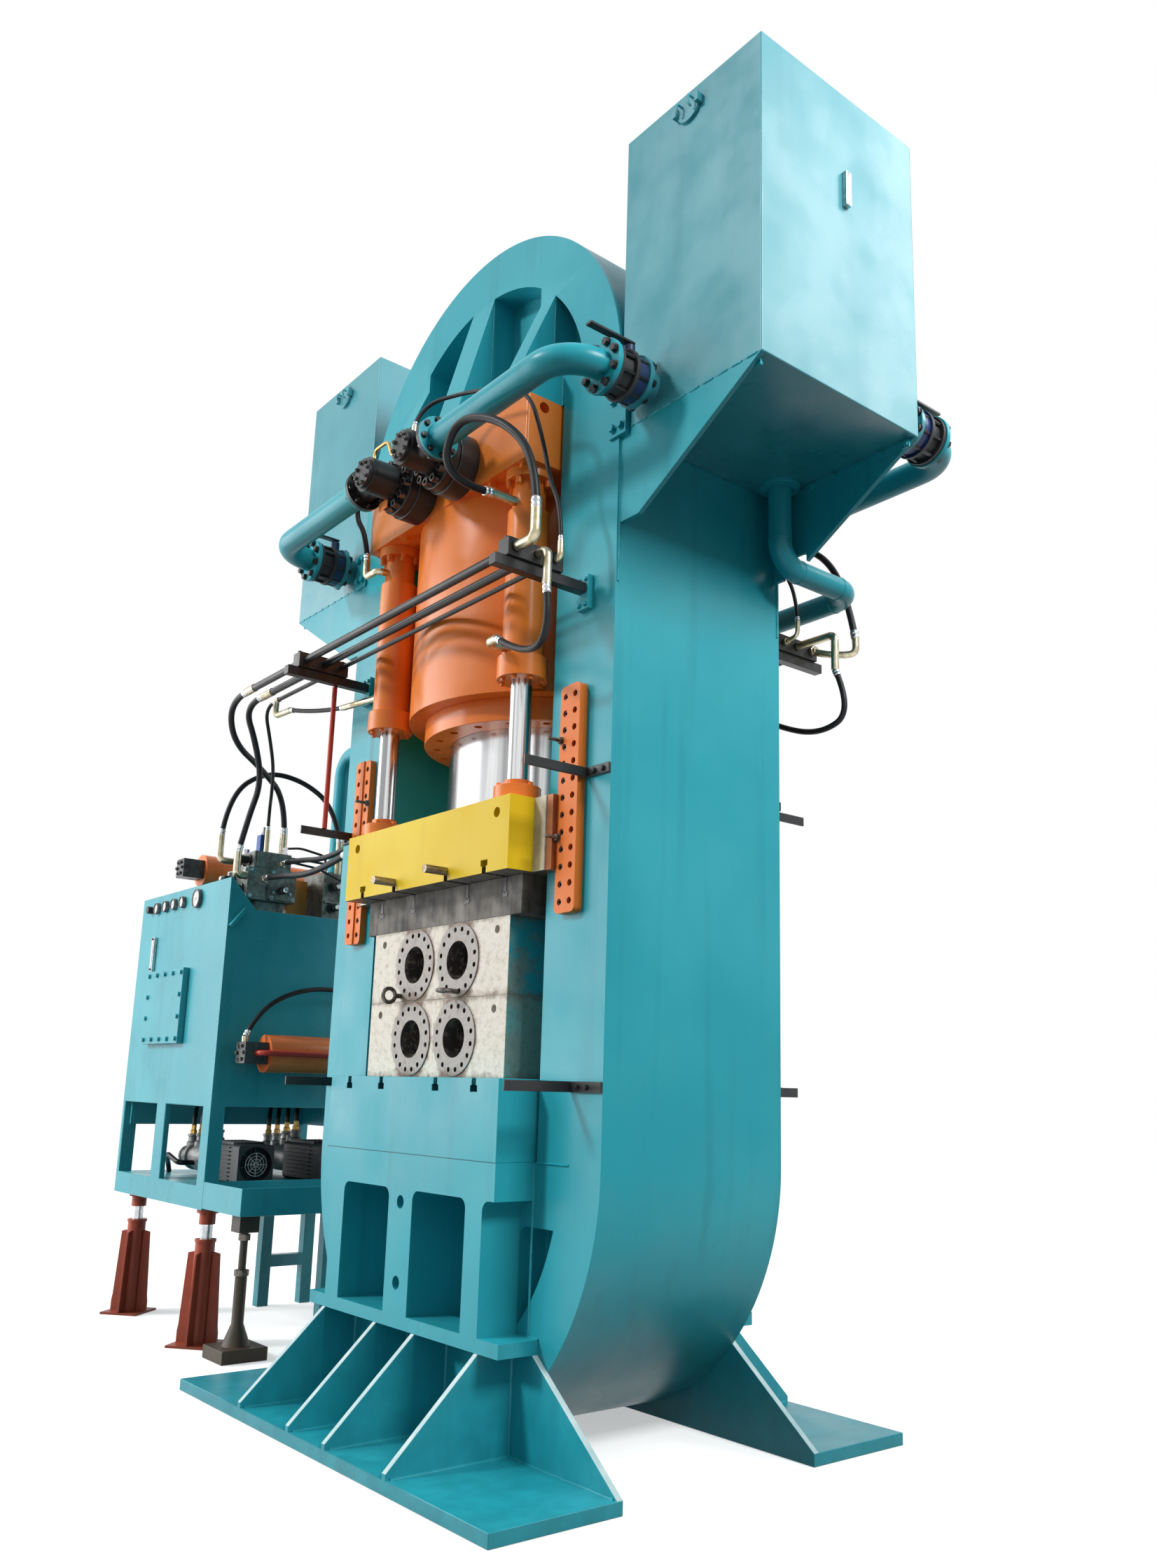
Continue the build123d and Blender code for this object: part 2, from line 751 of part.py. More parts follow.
# Bronze liners on the wings run inside the bolted guide plates.
liner_front = wing_front - liner_setback
liner = block(wing_outer_x, guide_inner_x - running_gap, -liner_front, -wing_back, slide_low_z, slide_top_z)
add("guide_liners", four(liner))
guide_mid_x = guide_inner_x + guide_width / 2
guide_mid_z = guide_low_z + guide_height / 2
guide_face = Plane((0, -ring_half_depth, 0), x_dir=(1, 0, 0), z_dir=(0, -1, 0))
guide_outline = Pos(guide_mid_x, guide_mid_z) * RectangleRounded(guide_width, guide_height, guide_corner)
guide = extrude(guide_face * guide_outline, amount=guide_thick)
guide -= block(guide_inner_x - cut_overrun, guide_inner_x + guide_step_width,
               -ring_half_depth - guide_thick - cut_overrun, -ring_half_depth - guide_thick + guide_step,
               guide_low_z - cut_overrun, guide_low_z + guide_height + cut_overrun)
guide_pitch = (guide_height - 2 * guide_hole_edge) / (guide_hole_rows - 1)
for hole_x in (guide_inner_x + guide_hole_inset, guide_inner_x + guide_width - guide_hole_inset):
    for i in range(guide_hole_rows):
        guide -= rod_on_y(hole_x, guide_low_z + guide_hole_edge + i * guide_pitch,
                          -ring_half_depth - guide_thick - cut_overrun,
                          -ring_half_depth - guide_thick + guide_hole_depth, guide_hole_radius)
add("guide_plates", four(guide))

# Main cylinder: square head and round barrel in one casting, closed above the bore.
cylinder = block(-beam_half_width, beam_half_width, -beam_half_depth, beam_half_depth, head_low_z, ring_top_centre_z)
cylinder = fillet(cylinder.edges().filter_by(Axis.Z), head_corner)
cylinder += rod_on_z(0, 0, barrel_low_z, head_low_z, barrel_radius)
cylinder -= rod_on_z(0, 0, barrel_low_z - cut_overrun, barrel_low_z + bore_length, bore_radius)
lift_hole = rod_on_x(-lift_hole_y, ring_top_centre_z - lift_hole_drop, beam_half_width - lift_hole_depth,
                     beam_half_width + cut_overrun, lift_hole_radius)
for hole in four(lift_hole):
    cylinder -= hole
add("main_cylinder", cylinder)
gland = rod_on_z(0, 0, gland_low_z, barrel_low_z, gland_radius)
gland -= rod_on_z(0, 0, gland_low_z - cut_overrun, barrel_low_z + cut_overrun, ram_radius + shaft_clearance)
for i in range(gland_bolt_count):
    turn = 2 * math.pi * i / gland_bolt_count
    gland -= rod_on_z(gland_bolt_circle * math.cos(turn), gland_bolt_circle * math.sin(turn),
                      gland_low_z - cut_overrun, gland_low_z + gland_bolt_depth, gland_bolt_radius)
add("ram_gland", gland)
bush = rod_on_z(0, 0, barrel_low_z, barrel_low_z + bush_length, bore_radius - fit_gap)
bush -= rod_on_z(0, 0, barrel_low_z - cut_overrun, barrel_low_z + bush_length + cut_overrun,
                 ram_radius + shaft_clearance)
add("ram_bush", bush)
add("main_ram", rod_on_z(0, 0, slide_top_z, slide_top_z + ram_length, ram_radius))

# Return cylinders hang from the head; their rods stand in flanges on the slide.
neck_top_z = head_low_z - return_flange_height
tube_top_z = neck_top_z - return_neck_length
tube_low_z = tube_top_z - return_tube_length
return_gland_low_z = tube_low_z - return_gland_height
body = turned([(0, tube_low_z + return_bore_length), (return_bore_radius, tube_low_z + return_bore_length),
               (return_bore_radius, tube_low_z), (return_tube_radius, tube_low_z),
               (return_tube_radius, tube_top_z), (return_neck_radius, tube_top_z),
               (return_neck_radius, neck_top_z), (return_flange_radius, neck_top_z),
               (return_flange_radius, head_low_z), (0, head_low_z)])
add("return_cylinders", four(Pos(return_x, -return_y, 0) * body))
rod_bore = return_rod_radius + shaft_clearance
nose = turned([(rod_bore, return_gland_low_z), (return_gland_radius, return_gland_low_z),
               (return_gland_radius, tube_low_z), (rod_bore, tube_low_z)])
add("return_glands", four(Pos(return_x, -return_y, 0) * nose))
piston_low_z = tube_low_z + piston_lift
piston_radius = return_bore_radius - shaft_clearance
rod = turned([(0, slide_top_z), (return_rod_radius, slide_top_z), (return_rod_radius, piston_low_z),
              (piston_radius, piston_low_z), (piston_radius, piston_low_z + piston_length),
              (0, piston_low_z + piston_length)])
add("return_rods", four(Pos(return_x, -return_y, 0) * rod))
seat_bore = return_rod_radius + fit_gap
seat_top = slide_top_z + rod_flange_height
seat = turned([(seat_bore, slide_top_z), (rod_flange_radius, slide_top_z), (rod_flange_radius, seat_top),
               (rod_collar_radius, seat_top), (rod_collar_radius, seat_top + rod_collar_height),
               (seat_bore, seat_top + rod_collar_height)])
add("rod_flanges", four(Pos(return_x, -return_y, 0) * seat))
bolts = []
for i in range(flange_bolt_count):
    turn = 2 * math.pi * (i + hole_phase_share) / flange_bolt_count
    bolts.extend(four(rod_on_z(return_x + flange_bolt_circle * math.cos(turn),
                               -return_y + flange_bolt_circle * math.sin(turn),
                               neck_top_z - flange_bolt_height, neck_top_z, flange_bolt_radius)))
add("flange_bolts", bolts)

# Prefill valves: stepped turned bodies on the head with a side port for the suction pipe.
y_body = beam_half_depth + prefill_body_length
y_ring = y_body + prefill_ring_length
y_house = y_ring + prefill_house_length
y_cap = y_house + prefill_cap_length
valve = turned([(0, beam_half_depth), (prefill_body_radius, beam_half_depth), (prefill_body_radius, y_body),
                (prefill_ring_radius, y_body), (prefill_ring_radius, y_ring), (prefill_house_radius, y_ring),
                (prefill_house_radius, y_house), (prefill_cap_radius, y_house), (prefill_cap_radius, y_cap),
                (0, y_cap)])
valve = Pos(prefill_x, 0, suction_z) * Rot(90, 0, 0) * valve
valve += rod_on_x(-suction_y, suction_z, prefill_x, port_flange_x, port_radius)
valve += rod_on_x(-suction_y, suction_z, port_flange_x - port_flange_thick, port_flange_x, port_flange_radius)
add("prefill_valves", four(valve))
pipe_start = port_flange_x + port_flange_thick


def suction_line(x):
    """Pipe from a prefill valve to the shut-off that stands at x."""
    line = pipe_along([(port_flange_x, -suction_y, suction_z), (x, -suction_y, suction_z),
                       (x, -pipe_end_y, suction_z)], suction_radius, suction_bend)
    line += rod_on_x(-suction_y, suction_z, port_flange_x, pipe_start, port_flange_radius)
    return line + rod_on_y(x, suction_z, -pipe_end_y - pipe_flange_thick, -pipe_end_y, pipe_flange_radius)


def front_and_rear(piece):
    """The front pair of a piece at the front shut-offs, then the rear pair at the rear shut-offs."""
    front = piece(shutoff_x)
    rear = flip_y(piece(rear_shutoff_x))
    return [front, flip_x(front), rear, flip_x(rear)]


add("suction_pipes", front_and_rear(suction_line))

# Shut-off valves: rubber joint and butterfly body in line, lever with stem and disc.
joint_end = pipe_end_y - joint_length
shutoff_end = joint_end - shutoff_length
shutoff_mid = (joint_end + shutoff_end) / 2
joint = turned([(shutoff_bore, joint_end), (joint_rim_radius, joint_end), (joint_rim_radius, joint_end + joint_rim),
                (joint_waist_radius, joint_end + joint_rim), (joint_waist_radius, pipe_end_y - joint_rim),
                (joint_rim_radius, pipe_end_y - joint_rim), (joint_rim_radius, pipe_end_y),
                (shutoff_bore, pipe_end_y)])
lever_z = suction_z + stem_boss_height + lever_lift


def shutoff_body(x):
    """Rubber joint and butterfly body with the bore of its stem."""
    body = Pos(x, 0, suction_z) * Rot(90, 0, 0) * joint
    body += rod_on_y(x, suction_z, -joint_end, -shutoff_end, shutoff_radius)
    body += rod_on_z(x, -shutoff_mid, suction_z, suction_z + stem_boss_height, stem_boss_radius)
    body -= rod_on_y(x, suction_z, -pipe_end_y - cut_overrun, -shutoff_end + cut_overrun, shutoff_bore)
    return body - rod_on_z(x, -shutoff_mid, suction_z, suction_z + stem_boss_height + cut_overrun,
                           stem_radius + shaft_clearance)


def shutoff_lever(x):
    """Lever with its stem and disc."""
    lever = rod_on_z(x, -shutoff_mid, suction_z, lever_z + lever_thick, stem_radius)
    lever += rod_on_x(-shutoff_mid, suction_z, x - disc_thick / 2, x + disc_thick / 2, shutoff_bore - disc_gap)
    return lever + block(x - lever_width / 2, x + lever_width / 2, -shutoff_mid - lever_length,
                         -shutoff_mid + lever_width / 2, lever_z, lever_z + lever_thick)


add("butterfly_valves", front_and_rear(shutoff_body))
for name, item in zip(("right_front", "left_front", "right_rear", "left_rear"), front_and_rear(shutoff_lever)):
    add("valve_lever_" + name, item)

# Tanks: closed sheet boxes with bored pipe stubs, carried by side brackets.
tank_right_x = ring_half_width + tank_width
tank = block(ring_half_width, tank_right_x, -tank_half_depth, tank_half_depth, tank_low_z, tank_top_z)
tank -= block(ring_half_width + tank_wall, tank_right_x - tank_wall, -tank_half_depth + tank_wall,
              tank_half_depth - tank_wall, tank_low_z + tank_wall, tank_top_z - tank_wall)


def tank_stub(x):
    """Flanged stub on the tank wall for the shut-off at x."""
    stub = rod_on_y(x, suction_z, -shutoff_end, -tank_half_depth, stub_radius)
    stub += rod_on_y(x, suction_z, -shutoff_end, -shutoff_end + stub_flange_thick, stub_flange_radius)
    return stub - rod_on_y(x, suction_z, -shutoff_end - cut_overrun, -tank_half_depth, shutoff_bore)


tank += tank_stub(shutoff_x)
tank += flip_y(tank_stub(rear_shutoff_x))
add("oil_tanks", tank, flip_x(tank))
bracket_outline = [(ring_half_width, tank_low_z), (tank_right_x, tank_low_z),
                   (ring_half_width + bracket_foot, tank_low_z - bracket_drop),
                   (ring_half_width, tank_low_z - bracket_drop)]
bracket = plate_xz(bracket_outline, -tank_half_depth, -tank_half_depth + bracket_thick)
rear_bracket = plate_xz(bracket_outline, tank_half_depth - bracket_thick, tank_half_depth)
notch_half = balance_radius + balance_notch_gap
rear_bracket -= block(balance_x - notch_half, balance_x + notch_half, tank_half_depth - bracket_thick - cut_overrun,
                      tank_half_depth + cut_overrun, tank_low_z - bracket_drop - cut_overrun,
                      balance_low_z + notch_half)
lug = block(ring_half_width - lug_width, ring_half_width + lug_width, -ring_half_depth - lug_thick, -ring_half_depth,
            tank_low_z - lug_drop, tank_low_z - lug_drop + lug_height)
lug += block(ring_half_width, ring_half_width + lug_width, -ring_half_depth, -tank_half_depth,
             tank_low_z - lug_drop, tank_low_z - lug_drop + lug_height)
add("tank_brackets", bracket, flip_x(bracket), rear_bracket, flip_x(rear_bracket), lug, flip_x(lug))
cover = rod_on_y(cover_x, tank_top_z - cover_drop, -tank_half_depth - cover_thick, -tank_half_depth, cover_radius)
for side in (-1, 1):
    hook_x = cover_x + side * cover_radius
    cover += block(hook_x - hook_width / 2, hook_x + hook_width / 2, -tank_half_depth - hook_depth, -tank_half_depth,
                   tank_top_z - cover_drop - hook_height / 2, tank_top_z - cover_drop + hook_height / 2)
level = block(tank_right_x, tank_right_x + gauge_depth, gauge_y - gauge_width / 2, gauge_y + gauge_width / 2,
              gauge_low_z, gauge_low_z + gauge_height)
unit_level = block(unit_gauge_x - unit_gauge_width / 2, unit_gauge_x + unit_gauge_width / 2,
                   -unit_front - unit_gauge_depth, -unit_front, unit_gauge_low_z,
                   unit_gauge_low_z + unit_gauge_height)
add("tank_fittings", cover, flip_x(cover), level, flip_x(level), unit_level)

# Balance pipe joins both tanks behind the frame; the feed pipe drops to the power unit.
balance_path = [(balance_x, balance_y, tank_low_z), (balance_x, balance_y, balance_low_z),
                (balance_x, balance_back_y, balance_low_z), (-balance_x, balance_back_y, balance_low_z),
                (-balance_x, balance_y, balance_low_z), (-balance_x, balance_y, tank_low_z)]
balance = pipe_along(balance_path, balance_radius, balance_bend)
for side in (-1, 1):
    balance += rod_on_z(side * balance_x, balance_y, tank_low_z - balance_flange_thick, tank_low_z,
                        balance_flange_radius)
add("balance_pipe", balance)
feed_path = [(feed_x, feed_y, tank_low_z), (feed_x, feed_y, feed_z), (feed_left_x, feed_y, feed_z),
             (feed_left_x, feed_y, rear_top_z)]
feed = pipe_along(feed_path, feed_radius, feed_bend)
feed += rod_on_z(feed_x, feed_y, tank_low_z - balance_flange_thick, tank_low_z, balance_flange_radius)
feed += rod_on_z(feed_left_x, feed_y, rear_top_z, rear_top_z + balance_flange_thick, balance_flange_radius)
add("feed_pipe", feed)

# Column brackets: pipe arms with clamp strips, bent guard arms and the red rod between two of them.
arm_top = arm_z + arm_size / 2
arm = block(arm_x - arm_foot_width / 2, arm_x + arm_foot_width / 2, -ring_half_depth - arm_foot_thick,
            -ring_half_depth, arm_foot_low_z, arm_foot_low_z + arm_foot_height)
arm += block(arm_x - arm_size / 2, arm_x + arm_size / 2, -arm_reach, -ring_half_depth, arm_z - arm_size / 2, arm_top)
clamp = block(arm_x - clamp_width / 2, arm_x + clamp_width / 2, -pipe_outer_y - clamp_margin,
              -pipe_inner_y + clamp_margin, arm_top, arm_top + clamp_height)
pipe_rows = ((pipe_outer_y, pipe_outer_radius), (pipe_middle_y, pipe_outer_radius), (pipe_inner_y, pipe_inner_radius))
for py, radius in pipe_rows:
    clamp -= rod_on_x(-py, pipe_z, arm_x - clamp_width, arm_x + clamp_width, radius + fit_gap)


def guard(x, z):
    """Bent flat bar: foot on the column face and an arm to the front."""
    low = z - guard_height / 2
    high = z + guard_height / 2
    bent = block(x, ring_half_width, -ring_half_depth - guard_thick, -ring_half_depth, low, high)
    return bent + block(x, x + guard_thick, -guard_reach, -ring_half_depth, low, high)


red_rod = rod_on_z(rod_x, -rod_y, guard_upper_z + guard_height / 2, arm_z - arm_size / 2, rod_radius)
add("column_brackets", four(arm), four(clamp), four(guard(guard_upper_x, guard_upper_z)),
    four(guard(guard_lower_x, guard_lower_z)), red_rod)
pipes = []
for py, radius in pipe_rows:
    left = inner_pipe_left_x if py == pipe_inner_y else pipe_left_x
    pipes.append(rod_on_x(-py, pipe_z, left, pipe_right_x, radius))
    pipes.append(rod_on_x(py, pipe_z, -pipe_right_x, pipe_right_x, radius))
add("pressure_pipes", pipes)

# Power unit: one sheet cabinet with a sloped console, closed oil space above an open pump bay.
outline = [(-unit_front, unit_low_z), (unit_back, unit_low_z), (unit_back, unit_top_z),
           (-unit_front + console_depth, unit_top_z), (-unit_front + console_flat, console_top_z),
           (-unit_front, console_top_z)]
cabinet = plate_yz(outline, unit_left, unit_right)
cabinet -= block(unit_left + bay_wall, unit_right - bay_wall, -unit_front + bay_wall, unit_back - bay_wall,
                 bay_floor_z, bay_top_z)
for x0, x1 in ((unit_left + bay_wall, window_left_end), (window_right_start, window_right_end)):
    cabinet -= block(x0, x1, -unit_front - cut_overrun, unit_back + cut_overrun, bay_floor_z, bay_top_z)
cabinet -= block(unit_left - cut_overrun, unit_right + cut_overrun, -unit_front + side_post, unit_back - side_post,
                 bay_floor_z, bay_top_z)
cabinet -= block(unit_left + unit_wall, unit_right - unit_wall, -unit_front + unit_wall, unit_back - unit_wall,
                 bay_top_z + unit_wall, unit_top_z - unit_wall)
add("unit_cabinet", cabinet)
add("access_cover", block(access_left, access_right, -unit_front - access_thick, -unit_front,
                          access_low_z, access_high_z))
dials = [rod_on_y(gx, panel_z, -unit_front - panel_gauge_depth, -unit_front, small_gauge_radius)
         for gx in small_gauges_x]
dials.append(rod_on_y(large_gauge_x, panel_z, -unit_front - panel_gauge_depth, -unit_front, large_gauge_radius))
add("panel_gauges", dials)
knob_bush = rod_on_y(knob_x, panel_z, -unit_front - knob_length - fit_gap, -unit_front - fit_gap, knob_radius)
add("console_knob", knob_bush)

# Motors with a fan in the end recess, pumps behind them, drip tray beside the cabinet.
motors = []
fans = []
pumps = []
motor_left_x = motor_right_x - motor_length
for my in (motor_front_y, motor_rear_y):
    shell = block(motor_left_x, motor_right_x, my - motor_half, my + motor_half,
                  motor_z - motor_half, motor_z + motor_half)
    shell = fillet(shell.edges().filter_by(Axis.X), motor_corner)
    shell -= rod_on_x(my, motor_z, motor_right_x - fan_recess, motor_right_x + cut_overrun, fan_recess_radius)
    shell -= rod_on_x(my, motor_z, motor_right_x - 2 * fan_recess, motor_right_x, fan_shaft_radius + shaft_clearance)
    motors.append(shell)
    pump = rod_on_x(my, motor_z, motor_left_x - pump_length, motor_left_x, pump_radius)
    pump += rod_on_z(motor_left_x - pump_length / 2, my, motor_z, motor_z + pump_port_rise, pump_port_radius)
    pumps.append(pump)
    fan_x = motor_right_x - fan_recess + fan_back_gap
    fan = rod_on_x(my, motor_z, fan_x, fan_x + fan_thick, fan_hub_radius)
    fan += rod_on_x(my, motor_z, fan_x - fan_recess, fan_x, fan_shaft_radius)
    for i in range(fan_blade_count):
        blade = block(fan_x, fan_x + fan_thick, -fan_blade_thick / 2, fan_blade_thick / 2, 0, fan_radius)
        fan += Pos(0, my, motor_z) * Rot(360 * i / fan_blade_count, 0, 0) * blade
    fans.append(fan)
add("pump_motors", motors)
add("pumps", pumps)
add("motor_fan_front", fans[0])
add("motor_fan_rear", fans[1])
tray = block(unit_right, tray_right, -unit_front, tray_back, tray_low_z, tray_top_z)
tray -= block(unit_right + tray_wall, tray_right - tray_wall, -unit_front + tray_wall, tray_back - tray_wall,
              tray_low_z + tray_wall, tray_top_z + cut_overrun)
add("drip_tray", tray)

# Valve manifold: pedestal, drilled blocks and a second block under the feed pipe.
pedestal = block(stand_left, stand_right, stand_front, stand_back, unit_top_z, block_low_z)
main_block = block(block_left, block_right, block_front, block_back, block_low_z, block_top_z)
main_block += block(block_left, block_right, upper_front, upper_back, block_top_z, upper_top_z)
rear_block = block(block_left, block_right, rear_front, rear_back, unit_top_z, rear_top_z)
oil_filter = block(filter_left, filter_right, filter_front, filter_back, unit_top_z, filter_top_z)
add("valve_manifold", pedestal, main_block, rear_block, oil_filter)


def accumulator(x, z):
    """Accumulator shell with a dished rear end."""
    back = acc_front + acc_length
    shell = rod_on_y(x, z, acc_front, back, acc_radius)
    return fillet(shell.edges().filter_by(GeomType.CIRCLE).group_by(Axis.Y)[-1], acc_radius * acc_dome_share)


def end_block(x, z):
    """Square bolted block on the accumulator's front end."""
    return block(x - end_block_half, x + end_block_half, acc_front - end_block_length, acc_front,
                 z - end_block_half, z + end_block_half)


saddles = []
for i in range(2):
    y0 = acc_front + saddle_first + i * saddle_pitch
    reach = acc_radius * saddle_wrap_share
    side = block(unit_right, low_acc_x, y0, y0 + saddle_thick, low_acc_z - acc_radius, low_acc_z + acc_radius)
    side -= rod_on_y(low_acc_x, low_acc_z, y0 - cut_overrun, y0 + saddle_thick + cut_overrun, acc_radius + fit_gap)
    saddles.append(side.solids().sort_by(Axis.X)[0])
    foot_block = block(high_acc_x - acc_radius, high_acc_x + acc_radius, y0, y0 + saddle_thick, unit_top_z,
                       high_acc_z - reach)
    foot_block -= rod_on_y(high_acc_x, high_acc_z, y0 - cut_overrun, y0 + saddle_thick + cut_overrun,
                           acc_radius + fit_gap)
    saddles.append(foot_block)
pipe_y = acc_front - end_block_length / 2
pipe_x = low_acc_x + acc_radius + acc_pipe_gap + acc_pipe_radius
pipe_back = acc_front + acc_length + acc_pipe_return
charge_pipe = pipe_along([(low_acc_x + end_block_half, pipe_y, low_acc_z), (pipe_x, pipe_y, low_acc_z),
                          (pipe_x, pipe_back, low_acc_z), (unit_right, pipe_back, low_acc_z)],
                         acc_pipe_radius, acc_pipe_bend)
add("accumulators", accumulator(low_acc_x, low_acc_z), accumulator(high_acc_x, high_acc_z),
    end_block(low_acc_x, low_acc_z), end_block(high_acc_x, high_acc_z), saddles, charge_pipe)

# Stands: two finned tube stands with posts, one screw jack and a trestle at the rear.
stands = []
for sx, sy in ((stand_front_x, stand_front_y), (stand_left_x, stand_left_y)):
    stand = Pos(0, 0, stand_base_thick / 2) * Box(stand_base, stand_base, stand_base_thick)
    stand += rod_on_z(0, 0, stand_base_thick, stand_tube_top, stand_tube_radius)
    for i in range(4):
        fin = plate_yz([(0, stand_base_thick), (stand_base / 2, stand_base_thick),
                        (stand_base / 2, stand_base_thick + fin_foot_height), (stand_tube_radius, fin_top),
                        (0, fin_top)], -fin_thick / 2, fin_thick / 2)
        stand += Rot(0, 0, 90 * i) * fin
    stands.append(Pos(sx, sy, 0) * Rot(0, 0, stand_turn) * stand)
    post = rod_on_z(sx, sy, stand_tube_top, unit_low_z, post_radius)
    post += rod_on_z(sx, sy, unit_low_z - post_collar_height, unit_low_z, post_collar_radius)
    stands.append(post)
add("jack_stands", stands)
jack = block(jack_x - jack_base_half, jack_x + jack_base_half, jack_y - jack_base_half, jack_y + jack_base_half,
             0, jack_base_height)
jack += Pos(jack_x, jack_y, 0) * turned([(0, jack_base_height), (jack_cone_radius, jack_base_height),
                                         (jack_tube_radius, jack_cone_top), (jack_tube_radius, jack_tube_top),
                                         (jack_screw_radius, jack_tube_top),
                                         (jack_screw_radius, tray_low_z - jack_head_height),
                                         (0, tray_low_z - jack_head_height)])
jack += block(jack_x - jack_head_half, jack_x + jack_head_half, jack_y - jack_head_half, jack_y + jack_head_half,
              tray_low_z - jack_head_height, tray_low_z)
add("screw_jack", jack)
trestle = block(trestle_left, trestle_right, trestle_front, trestle_front + trestle_beam,
                unit_low_z - trestle_beam, unit_low_z)
trestle += block(trestle_left, trestle_right, trestle_back - trestle_beam, trestle_back,
                 unit_low_z - trestle_beam, unit_low_z)
for tx in (trestle_left, trestle_right - trestle_beam):
    for ty in (trestle_front, trestle_back - trestle_beam):
        trestle += block(tx, tx + trestle_beam, ty, ty + trestle_beam, 0, unit_low_z - trestle_beam)
    trestle += block(tx, tx + trestle_beam, trestle_front, trestle_back, trestle_rail_z, trestle_rail_z + trestle_beam)
    trestle += block(tx, tx + trestle_beam, trestle_front, trestle_back, unit_low_z - trestle_beam, unit_low_z)
add("trestle", trestle)

# Hoses and the fittings they end in: each fitting is a short bent tube from its port to the hose end.
hoses = {
    "hose_right_upper": (hose_right_upper_size, hose_right_upper_route),
    "hose_right_lower": (hose_right_lower_size, hose_right_lower_route),
    "pilot_hose": (pilot_hose_size, pilot_hose_route),
    "hose_left_upper": (hose_left_upper_size, hose_left_upper_route),
    "hose_left_lower": (hose_left_lower_size, hose_left_lower_route),
    "supply_hose_a": (supply_hose_a_size, supply_hose_a_route),
    "supply_hose_b": (supply_hose_b_size, supply_hose_b_route),
    "supply_hose_thin": (supply_hose_thin_size, supply_hose_thin_route),
    "manifold_hose": (manifold_hose_size, manifold_hose_route),
    "rear_hose": (rear_hose_size, rear_hose_route),
    "accumulator_hose": (accumulator_hose_size, accumulator_hose_route),
}
for name, (size, route) in hoses.items():
    add(name, hose(size, route))


def fitting(size, *points):
    """Bent fitting tube whose last point is the hose end."""
    return pipe_along(list(points), size / 2 + fitting_wall, fitting_bend)


def end_of(name, last):
    """First or last point of a hose route."""
    return hoses[name][1][-1 if last else 0]


port_y = -return_y - return_neck_radius + fitting_bite
low_port_y = -return_y - return_tube_radius + fitting_bite
fits = []
p = end_of("hose_right_upper", False)
fits.append(fitting(hose_right_upper_size, (p[0], port_y, p[2]), p))
p = end_of("hose_right_upper", True)
fits.append(fitting(hose_right_upper_size, (pipe_right_x, -pipe_outer_y, pipe_z), (p[0], p[1], pipe_z), p))
p = end_of("hose_right_lower", False)
fits.append(fitting(hose_right_lower_size, (return_x, low_port_y, p[2]), (return_x, p[1], p[2]), p))
p = end_of("hose_right_lower", True)
fits.append(fitting(hose_right_lower_size, (pipe_right_x, -pipe_middle_y, pipe_z), (p[0], p[1], pipe_z), p))
p = end_of("pilot_hose", False)
fits.append(fitting(pilot_hose_size, (p[0], p[1], suction_z + prefill_house_radius - fitting_bite), p))
p = end_of("pilot_hose", True)
fits.append(pipe_along([(pipe_right_x, -pipe_inner_y, pipe_z), (p[0], p[1], pipe_z), p],
                       pilot_hose_size / 2 + fitting_wall, p[0] - pipe_right_x - fitting_bite))
p = end_of("hose_left_upper", False)
fits.append(fitting(hose_left_upper_size, (-return_x, port_y, tube_top_z + fitting_nose),
                    (-return_x, p[1], tube_top_z + fitting_nose), (p[0], p[1], tube_top_z + fitting_nose), p))
p = end_of("hose_left_upper", True)
fits.append(fitting(hose_left_upper_size, (p[0], -beam_half_depth, p[2] + fitting_rise),
                    (p[0], p[1], p[2] + fitting_rise), p))
p = end_of("hose_left_lower", False)
fits.append(fitting(hose_left_lower_size, (inner_pipe_left_x - fitting_bend, -pipe_inner_y, pipe_z),
                    (inner_pipe_left_x - fitting_bend, -pipe_inner_y, p[2]), p))
p = end_of("hose_left_lower", True)
fits.append(fitting(hose_left_lower_size, (-return_x - return_tube_radius + fitting_bite, -return_y, p[2]), p))
p = end_of("supply_hose_a", False)
fits.append(fitting(supply_hose_a_size, (pipe_left_x, -pipe_outer_y, pipe_z), p))
p = end_of("supply_hose_a", True)
fits.append(fitting(supply_hose_a_size, (p[0], p[1], upper_top_z), p))
p = end_of("supply_hose_b", False)
fits.append(fitting(supply_hose_b_size, (pipe_left_x, -pipe_middle_y, pipe_z), p))
p = end_of("supply_hose_b", True)
fits.append(fitting(supply_hose_b_size, (p[0], block_front, block_top_z - fitting_nose),
                    (p[0], p[1], block_top_z - fitting_nose), p))
p = end_of("supply_hose_thin", False)
fits.append(fitting(supply_hose_thin_size, (inner_pipe_left_x, -pipe_inner_y, pipe_z), p))
p = end_of("supply_hose_thin", True)
fits.append(fitting(supply_hose_thin_size, (p[0], p[1], upper_top_z), p))
p = end_of("manifold_hose", False)
fits.append(fitting(manifold_hose_size, (p[0], upper_front, upper_top_z - fitting_nose),
                    (p[0], p[1], upper_top_z - fitting_nose), p))
p = end_of("manifold_hose", True)
fits.append(fitting(manifold_hose_size, (p[0], p[1], rear_top_z), p))
p = end_of("rear_hose", False)
fits.append(fitting(rear_hose_size, (pipe_right_x, pipe_middle_y, pipe_z), (p[0], p[1], pipe_z), p))
p = end_of("rear_hose", True)
fits.append(fitting(rear_hose_size, (return_x, -low_port_y, p[2]), (return_x, p[1], p[2]), p))
p = end_of("accumulator_hose", False)
fits.append(fitting(accumulator_hose_size, (p[0], p[1], low_acc_z + end_block_half), p))
p = end_of("accumulator_hose", True)
fits.append(fitting(accumulator_hose_size, (unit_right, p[1] + fitting_nose, p[2]),
                    (p[0], p[1] + fitting_nose, p[2]), p))
